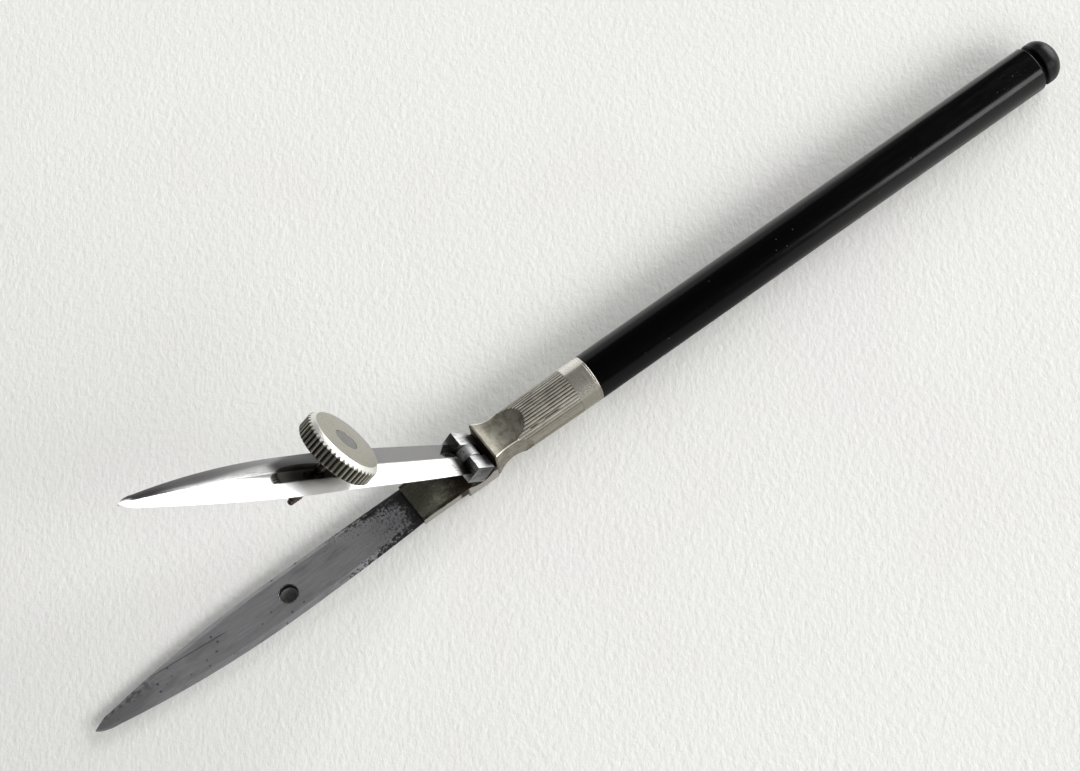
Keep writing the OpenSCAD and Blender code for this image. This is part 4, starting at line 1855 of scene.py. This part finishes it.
@dataclass
class Blades:
    """Upper and lower blade, each lofted along its length.

    Attributes:
        tip_curve: Powers that shape the rounded tip.
        edge_floor: Least height of the edge above the inner face.
        roof_floor: Least height of the outer face above it.
        side_floor: Least height of the edge's lower side above it.
        most_cut: Largest share of the half width that the edge's cut takes.
        most_under: The same of the cut below.
        bore_z: Ends of the tool that drills the lower blade.
        flare_end: How far below the collar's top the flare of the bore ends.
        rim_near: Distance from the bore that counts as on it.
        rim_up: Least rise of a face's normal that counts as facing up.
        rim_above: Height above the heel that the rim stays below.
    """

    length: float = 53.25
    half_w: float = 3.0
    waist_x: float = 27.0
    leaf_r: float = 139.0
    root_r: float = 577.0
    tip_back: float = 2.4
    tip_curve: Flat = (1.6, 0.8)
    tip_half: float = 0.02
    tip_stations: int = 10
    roof_deg: float = 10.5
    round_deg: float = 15.8
    tip_t: float = 0.3
    upper_t: float = 1.1
    upper_inner: float = 0.9
    bow_x: float = 22.0
    bow_r: float = 235.0
    tip_gap: float = 0.12
    upper_start: float = 1.3
    round_from: float = 19.0
    round_to: float = 29.0
    edge_cut: float = 0.02
    edge_t: float = 0.1
    edge_floor: float = 0.06
    roof_floor: float = 0.08
    side_floor: float = 0.03
    side_t: float = 0.03
    side_in: float = 0.02
    most_cut: float = 0.3
    under_cut: float = 0.6
    most_under: float = 0.4
    heel_z: float = 2.45
    heel_x: float = 8.44
    lower_bow: float = 0.35
    lower_t: float = 0.95
    lower_thick_x: float = 20.0
    hole_x: float = 26.25
    hole_r: float = 1.13
    hole_ease: float = 0.16
    hole_steps: int = 64
    rim_near: float = 0.02
    rim_up: float = 0.8
    rim_above: float = 0.2
    rim_deg: float = 60.0
    collar_z: Flat = (0.1, 1.15)
    collar_r: Flat = (1.6, 1.42)
    bore_z: Flat = (-2.0, 5.0)
    flare_r: float = 1.44
    flare_end: float = 0.35
    slot_x: float = 1.75
    slot_half: float = 0.86
    slot_end: float = 4.0
    neck_r: float = 0.55
    through: float = 3.0
    stations: int = 120
    side_points: int = 10

    def half_width(self, x: float) -> float:
        """Gives half the blade's width.

        Args:
            x: Distance from the hinge axis.

        Returns:
            Half the width.
        """
        r = self.leaf_r if x > self.waist_x else self.root_r
        tip_x = self.length - self.tip_back
        if x <= tip_x:
            return self.half_w - (r - math.sqrt(r * r - (x - self.waist_x) ** 2))
        share = min(1.0, (x - tip_x) / self.tip_back)
        inner, outer = self.tip_curve
        return self.half_width(tip_x) * (1 - share**inner) ** outer + self.tip_half

    def stations_from(self, start: float) -> List[float]:
        """Gives places along a blade, closer together at the tip.

        Args:
            start: The first place.

        Returns:
            Distances from the hinge axis.
        """
        tip_x = self.length - self.tip_back
        body = [start + (tip_x - start) * i / (self.stations - 1) for i in range(self.stations)]
        turns = [math.pi / 2 * i / self.tip_stations for i in range(1, self.tip_stations + 1)]
        return body + [tip_x + self.tip_back * math.sin(turn) for turn in turns]

    def drop(self, x: float, r: float) -> float:
        """Gives how far the upper blade's bow has dropped.

        Args:
            x: Distance from the hinge axis.
            r: Radius of the bow.

        Returns:
            The drop.
        """
        run = max(0.0, x - self.bow_x)
        return r - math.sqrt(r * r - run * run)

    def section(self, x: float, inner: float, ridge: float, roundness: float) -> List[Flat]:
        """Draws a cross-section, with the ridge up.

        Args:
            x: Distance from the hinge axis.
            inner: Height of the inner face.
            ridge: Height of the ridge.
            roundness: 0 for two flat facets, 1 for a rounded back.

        Returns:
            Places across the blade and heights, from the near edge over the ridge and back below.
        """
        w = self.half_width(x)
        n = self.side_points
        roof = self.roof_deg + (self.round_deg - self.roof_deg) * roundness
        fall = min(math.tan(math.radians(roof)) * w, ridge - inner - self.edge_t)
        cut = min(self.edge_cut, self.most_cut * w)
        edge_z = max(inner + self.edge_floor, ridge - fall - 0.5 * cut)
        side_z = max(inner + self.side_floor, edge_z - self.side_t)
        face = w - min(self.under_cut, self.most_under * w)
        outer = []
        for t in (step / n for step in range(-n, n + 1)):
            shape = (1 - roundness) * abs(t) + roundness * t * t
            z = max(inner + self.roof_floor, ridge - fall * shape * (1 - cut / w))
            outer.append((t * (w - cut), z))
        edge = [(w, edge_z), (w - self.side_in, side_z), (face, inner)]
        below = [((1 - 2 * step / n) * face, inner) for step in range(1, n)]
        return [*outer, *edge, *below, *((-y, z) for y, z in reversed(edge))]

    def loft(self, name: str, sections: Sequence[Sequence[Point]]) -> bpy.types.Object:
        """Lofts a blade.

        Args:
            name: The blade's name.
            sections: Its cross-sections.

        Returns:
            The blade.
        """

        def place(ring: int, count: int) -> Point:
            """Places a point of the blade."""
            return sections[ring][count]

        piece = Bench.tube(name, len(sections[0]), len(sections), place)
        Bench.clean(piece)
        return piece

    def build(self) -> None:
        """Builds both blades."""
        self.build_upper()
        self.build_lower()

    def build_upper(self) -> None:
        """Builds the upper blade closed, cuts slot and screw hole, and opens it."""
        run = self.length - self.bow_x
        out_r = 1 / (1 / self.bow_r + 2 * (self.upper_t - self.tip_t) / (run * run))
        sections = []
        for x in self.stations_from(self.upper_start):
            inner = -self.upper_inner - self.drop(x, self.bow_r)
            ridge = self.upper_t - self.upper_inner - self.drop(x, out_r)
            share = min(1.0, max(0.0, (x - self.round_from) / (self.round_to - self.round_from)))
            outline = self.section(x, inner, ridge, share * share * (3 - 2 * share))
            sections.append([(-x, y, z) for y, z in outline])
        piece = self.loft("upper_leaf", sections)
        low = (-self.slot_x, -self.slot_half, -self.through)
        slot = Bench.block("slot", low, (self.slot_end, self.slot_half, self.through))
        Bench.cut(piece, slot, Cut.TAKE_AWAY)
        Bench.move(piece, PLACE.opened())
        ends = [(0, 0, z) for z in (-self.through, self.through)]
        hole = Bench.rod("hole", self.neck_r, *ends, steps=48)
        Bench.move(hole, PLACE.on_screw())
        Bench.cut(piece, hole, Cut.TAKE_AWAY)
        steel = BladeSteel().build()
        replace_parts(Bench.settle(piece, Body.BLADE, Slot.BRIGHT, steel, edge_deg=9), "upper_blade")

    def build_lower(self) -> None:
        """Builds the lower blade with its inner face up, and drills the screw hole."""
        tip_z = PLACE.hinge_z - self.upper_inner - self.drop(self.length, self.bow_r) - self.tip_gap
        slope = math.atan2(self.heel_z - tip_z, self.length - self.heel_x)
        chord = (self.length - self.heel_x) / math.cos(slope)
        r = chord * chord / (8 * self.lower_bow)
        out_r = 1 / (1 / r + 2 * (self.lower_t - self.tip_t) / (self.length - self.lower_thick_x) ** 2)
        thick_a = math.asin((chord / 2 - self.lower_thick_x + self.heel_x) / r)
        lift = r + self.lower_t - out_r
        middle = chord / 2 - lift * math.sin(thick_a)
        centre = r - self.lower_bow - lift * math.cos(thick_a)
        sections = []
        for x in self.stations_from(self.heel_x):
            s = (x - self.heel_x) / math.cos(slope)
            inner = r - self.lower_bow - math.sqrt(r * r - (s - chord / 2) ** 2)
            ridge = centre - math.sqrt(out_r * out_r - (s - middle) ** 2)
            fall = self.heel_z - s * math.sin(slope)
            sections.append([(-x, -y, fall - z) for y, z in self.section(x, -inner, -ridge, 0.0)])
        piece = self.loft("lower_leaf", sections)
        self.drill(piece)
        finish = DullSteel(-self.heel_x, (self.hole_x, self.hole_r)).build()
        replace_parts(Bench.settle(piece, Body.HOLDER, Slot.DULL, finish, edge_deg=20), "lower_blade")

    def drill(self, piece: bpy.types.Object) -> None:
        """Adds the collar below the screw hole, then drills the hole and rounds its rim.

        Args:
            piece: The lower blade.
        """
        low, high = self.collar_z
        start, end = self.bore_z
        collar = list(zip(self.collar_z, self.collar_r))
        flare = [(start, self.flare_r), (low, self.flare_r)]
        bore = [*flare, (high - self.flare_end, self.hole_r), (end, self.hole_r)]
        for name, rows, way in (("collar", collar, Cut.JOIN), ("hole", bore, Cut.TAKE_AWAY)):
            Bench.cut(piece, Bench.turned(name, self.hole_steps, rows, self.about_hole), way)
        Bench.ease(piece, self.hole_ease, steps=3, wanted=self.on_hole)

    def about_hole(self, z: float, r: float, turn: float) -> Point:
        """Gives a point on a ring about the axis of the lower blade's hole.

        Args:
            z: Height of the ring.
            r: Its radius.
            turn: Angle about the axis, in radians.

        Returns:
            The point.
        """
        return (r * math.cos(turn) - self.hole_x, r * math.sin(turn), z)

    def on_hole(self, edge: bmesh.types.BMEdge) -> bool:
        """Says whether an edge lies on the upper rim of the screw hole.

        Args:
            edge: The edge.

        Returns:
            Whether the edge is on the rim.
        """
        outs = [math.hypot(v.co.x + self.hole_x, v.co.y) for v in edge.verts]
        on_bore = all(abs(out - self.hole_r) < self.rim_near for out in outs)
        on_top = all(any(f.normal.z > self.rim_up for f in v.link_faces) for v in edge.verts)
        in_blade = max(v.co.z for v in edge.verts) < self.heel_z + self.rim_above
        return on_bore and on_top and in_blade and Bench.sharper(self.rim_deg)(edge)


@dataclass
class ThumbScrew:
    """Knurled disc and threaded spindle of the thumb screw, drawn upright at the origin.

    Attributes:
        bore_in: Depth at which the disc's outline starts in its bore.
        edge: Distances outwards, down and inwards that round the edge of the face.
        tooth_flat: Half of a tooth's crest, as a share of the pitch.
        tooth_flank: A flank's share of the pitch.
        pitch_rows: Rings in one pitch of the thread.
        nose: Length of the rounded end of the tip, and its radius as a share.
        run_out: Share of the thread's depth where the cone ends.
        hair: Length of a step in the radius.
        plug_ease: Depths at which the plug's rounded edge starts and ends, and its width.
    """

    face_z: float = 4.98
    thick: float = 2.4
    rim_r: float = 4.9
    face_r: float = 4.3
    bevel: float = 0.6
    under_bevel: float = 0.2
    plug_r: float = 1.45
    bore_in: float = 0.3
    bore_ease: float = 0.03
    edge: Point = (0.05, 0.015, 0.07)
    teeth: int = 48
    tooth_points: int = 8
    tooth_depth: float = 0.22
    tooth_flat: float = 0.14
    tooth_flank: float = 0.24
    root_in: float = 0.02
    thread_r: float = 0.68
    thread_core: float = 0.52
    thread_points: int = 40
    pitch: float = 0.36
    pitch_rows: int = 6
    neck_r: float = 0.5
    neck_half: float = 1.1
    tip_z: float = -5.1
    cone: float = 1.4
    tip_r: float = 0.36
    nose: Flat = (0.12, 0.6)
    run_out: float = 0.7
    hair: float = 0.01
    plug_ease: Point = (0.06, 0.02, 0.05)

    def build(self) -> None:
        """Builds the disc and the spindle."""
        self.build_disc()
        self.build_spindle()

    def knurl(self, turn: float) -> float:
        """Gives the radius of the knurl at an angle.

        Args:
            turn: Angle about the screw, in radians.

        Returns:
            The radius.
        """
        share = (turn / FULL_TURN * self.teeth) % 1.0
        dip = min(1.0, max(0.0, (abs(share - 0.5) - self.tooth_flat) / self.tooth_flank))
        return self.rim_r - self.tooth_depth * dip

    def disc_outline(self, r: float) -> List[Flat]:
        """Draws the disc's outline from the bore below over the rim to the bore above.

        Args:
            r: Radius of the knurl.

        Returns:
            Radii and heights above the underside.
        """
        sunk = self.rim_r - r
        shoulder = self.thick - self.bevel
        root = self.tooth_depth + self.root_in
        out, down, back = self.edge
        return [
            (self.plug_r, self.thick - self.bore_in),
            (self.plug_r, 0.0),
            (min(r, self.rim_r - self.under_bevel), 0.0),
            (r, max(0.0, self.under_bevel - sunk)),
            (r, shoulder + sunk),
            (self.rim_r - root, shoulder + root),
            (self.face_r + out, self.thick - out),
            (self.face_r, self.thick - down),
            (self.face_r - back, self.thick),
            (self.plug_r + self.bore_ease, self.thick),
            (self.plug_r, self.thick - self.bore_ease),
        ]

    def build_disc(self) -> None:
        """Builds the knurled disc, whose teeth run out into the bevel."""
        around = self.teeth * self.tooth_points
        low = self.face_z - self.thick

        def place(ring: int, count: int) -> Point:
            """Places a point of the disc."""
            turn = FULL_TURN * count / around
            out, z = self.disc_outline(self.knurl(turn))[ring]
            return (out * math.cos(turn), out * math.sin(turn), low + z)

        rings = len(self.disc_outline(self.rim_r))
        piece = Bench.tube("knurled_disc", around, rings, place, capped=False)
        with Bench.editing(piece) as mesh:
            for edge in mesh.edges:
                edge.select_set(edge.is_boundary)
            bpy.ops.mesh.bridge_edge_loops()
        Bench.clean(piece)
        Bench.move(piece, PLACE.on_screw())
        finish = DiscNickel(self.rim_r, self.tooth_depth, self.face_r, low).build()
        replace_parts(Bench.settle(piece, Body.SCREW, Slot.NICKEL, finish, edge_deg=28), "thumb_disc")

    def threaded(self, z: float, r: float, depth: float, turn: float) -> Point:
        """Gives a point on a ring of the spindle.

        Args:
            z: Height of the ring.
            r: Radius over the thread.
            depth: Share of the thread's full depth.
            turn: Angle about the screw, in radians.

        Returns:
            The point.
        """
        crest = abs(((z / self.pitch - turn / FULL_TURN) % 1.0) - 0.5) * 2
        r -= depth * (self.thread_r - self.thread_core) * (1 - crest)
        return (r * math.cos(turn), r * math.sin(turn), z)

    def build_spindle(self) -> None:
        """Builds the spindle with its thread, neck and plug."""
        start = self.tip_z + self.cone
        run = -self.neck_half - start
        nose, blunt = self.nose
        rows = [(self.tip_z, blunt * self.tip_r, 0.0), (self.tip_z + nose, self.tip_r, 0.0)]
        count = int(self.cone / self.pitch * self.pitch_rows)
        for share in (i / count for i in range(1, count)):
            r = self.tip_r + (self.thread_r - self.tip_r) * share
            rows.append((self.tip_z + nose + (self.cone - nose) * share, r, self.run_out * share))
        count = int(run / self.pitch * self.pitch_rows)
        rows += [(start + run * i / count, self.thread_r, 1.0) for i in range(count + 1)]
        upper = self.face_z - self.thick
        plug_r = self.plug_r - self.hair
        ease_from, ease_to, ease_in = self.plug_ease
        plain = [
            (self.hair - self.neck_half, self.neck_r),
            (self.neck_half, self.neck_r),
            (self.neck_half + self.hair, self.thread_r),
            (upper, self.thread_r),
            (upper + self.hair, plug_r),
            (self.face_z - ease_from, plug_r),
            (self.face_z - ease_to, self.plug_r - ease_in),
        ]
        rows += [(z, r, 0.0) for z, r in plain]
        piece = Bench.turned("threaded_spindle", self.thread_points, rows, self.threaded)
        Bench.move(piece, PLACE.on_screw())
        finish = ScrewSteel(self.face_z).build()
        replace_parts(Bench.settle(piece, Body.SCREW, Slot.DULL, finish, edge_deg=30), "screw_spindle")


@dataclass(frozen=True)
class Softbox:
    """A soft area lamp that faces the pen.

    Attributes:
        name: The lamp's name.
        azimuth: Direction in degrees from +X towards +Y.
        elevation: Height in degrees above the paper.
        distance: Distance from the pen in metres.
        width: Width in metres.
        height: Height in metres.
        glow: Brightness of its face, where 1 is white.
        mirrored: Whether polished metal shows it.
    """

    name: str
    azimuth: float
    elevation: float
    distance: float
    width: float
    height: float
    glow: float
    mirrored: bool = True

    def build(self) -> None:
        """Adds the lamp."""
        az, el = math.radians(self.azimuth), math.radians(self.elevation)
        toward = Vector((math.cos(az) * math.cos(el), math.sin(az) * math.cos(el), math.sin(el)))
        spot = toward * self.distance
        lamp = Bench.added(self.name, bpy.ops.object.light_add, type="AREA", location=spot)
        lamp.rotation_euler = toward.to_track_quat("Z", "Y").to_euler()
        lamp.data.shape = "RECTANGLE"
        lamp.data.size = self.width
        lamp.data.size_y = self.height
        lamp.data.energy = self.glow * math.pi * self.width * self.height
        lamp.visible_camera = False
        lamp.visible_glossy = self.mirrored


@dataclass
class Studio:
    """Paper, lamps, world and the camera at the photograph's angle.

    Heights in the world run from 0 at the horizon to 1 overhead.

    Attributes:
        paper_size: Width of the paper in metres.
        room: Brightness of the room that metal mirrors.
        room_from: Heights at which the backdrop gives way to the room.
        fill: Brightness of the belt of soft light.
        fill_from: Heights at which the belt begins.
        fill_to: Heights at which it ends.
        fill_lean: Direction in which it gets brighter.
        target: Where the camera looks, in millimetres.
        distance: The camera's distance in millimetres.
    """

    paper_size: float = 8.0
    room: float = 0.035
    room_from: Flat = (0.02, 0.14)
    fill: float = 1.35
    fill_from: Flat = (0.22, 0.42)
    fill_to: Flat = (0.52, 0.72)
    fill_lean: Flat = (0.1, -0.85)
    backdrop: Colour = (0.8, 0.8, 0.785, 1.0)
    target: Point = (12.627, 2.893, 3.0)
    azimuth: float = 24.349
    elevation: float = 62.002
    roll: float = -13.094
    distance: float = 288.692
    lens: float = 80.0
    sensor: float = 36.0
    clip_start: float = 0.005
    lamps: Tuple[Softbox, ...] = (
        Softbox("right_window", 4.0, 19.0, 2.8, 2.69, 2.32, 4.9),
        Softbox("right_sill", 35.0, 1.5, 1.8, 0.38, 0.34, 1.0),
        Softbox("near_window", -53.0, 17.5, 2.8, 0.747, 0.902, 5.2),
        Softbox("far_wall", 85.0, 20.0, 1.8, 1.44, 1.2, 0.6),
        Softbox("near_light", -75.0, 31.0, 3.8, 3.8, 1.272, 5.0, False),
    )

    def build(self) -> None:
        """Builds the stage."""
        paper = Bench.added("paper", bpy.ops.mesh.primitive_plane_add, size=self.paper_size)
        paper.data.materials.append(Paper().build())
        for lamp in self.lamps:
            lamp.build()
        self.build_world()
        self.build_camera()
        bpy.context.scene.view_settings.view_transform = "Standard"

    def build_world(self) -> None:
        """Gives the room a soft belt of light, and a backdrop that camera and metal both see."""
        world = bpy.data.worlds.new("room")
        world.use_nodes = True
        world.node_tree.nodes.clear()
        g = Graph(world.node_tree)
        toward = g.node("ShaderNodeTexCoord", {}, "Generated")
        _, _, height = g.axes(toward)
        belt = g.span(height, *self.fill_from, 0.0, self.fill) * g.span(height, *self.fill_to, 1.0, 0.0)
        aim = {0: toward, 1: (*self.fill_lean, 0.0)}
        lean = g.node("ShaderNodeVectorMath", aim, "Value", operation="DOT_PRODUCT")
        fill = g.node("ShaderNodeBackground", {1: lean * belt + belt})
        dusk = g.span(height, *self.room_from, 1.0, self.room / self.backdrop[0])
        pale = g.node("ShaderNodeBackground", {0: self.backdrop, 1: dusk})
        ports = [f"Is {kind} Ray" for kind in ("Camera", "Glossy", "Transmission")]
        shown = g.most(*(g.node("ShaderNodeLightPath", {}, port) for port in ports))
        seen = g.node("ShaderNodeMixShader", {0: shown, 1: fill, 2: pale})
        g.feed(g.tree.nodes.new("ShaderNodeOutputWorld").inputs[0], seen)
        bpy.context.scene.world = world

    def build_camera(self) -> None:
        """Sets the camera where the photograph was taken from."""
        az, el, roll = (math.radians(v) for v in (self.azimuth, self.elevation, self.roll))
        level = Vector((math.cos(az), -math.sin(az), 0.0))
        away = Vector((math.sin(az), math.cos(az), 0.0))
        back = -math.cos(el) * away + math.sin(el) * Vector((0.0, 0.0, 1.0))
        upright = back.cross(level)
        right = math.cos(roll) * level + math.sin(roll) * upright
        up = -math.sin(roll) * level + math.cos(roll) * upright
        camera = Bench.added("photo_camera", bpy.ops.object.camera_add)
        turn = Matrix((right, up, back)).transposed().to_4x4()
        eye = (Vector(self.target) + self.distance * back) * MM
        camera.matrix_world = Matrix.Translation(eye) @ turn
        camera.data.lens = self.lens
        camera.data.sensor_width = self.sensor
        camera.data.sensor_fit = "HORIZONTAL"
        camera.data.clip_start = self.clip_start
        bpy.context.scene.camera = camera


def dress_hidden_tang() -> None:
    """Gives the tang inside the handle its steel."""
    tang = frame["nodes"]["tang"]
    tang.data.materials.clear()
    tang.data.materials.append(DarkSteel("tang_steel").build())


def main() -> None:
    """Builds the pen piece by piece, then the stage."""
    logging.basicConfig(level=logging.INFO)
    for part in (Handle(), Grip(), Hinge(), Blades(), ThumbScrew()):
        part.build()
    dress_hidden_tang()
    Studio().build()


if __name__ == "__main__":
    main()
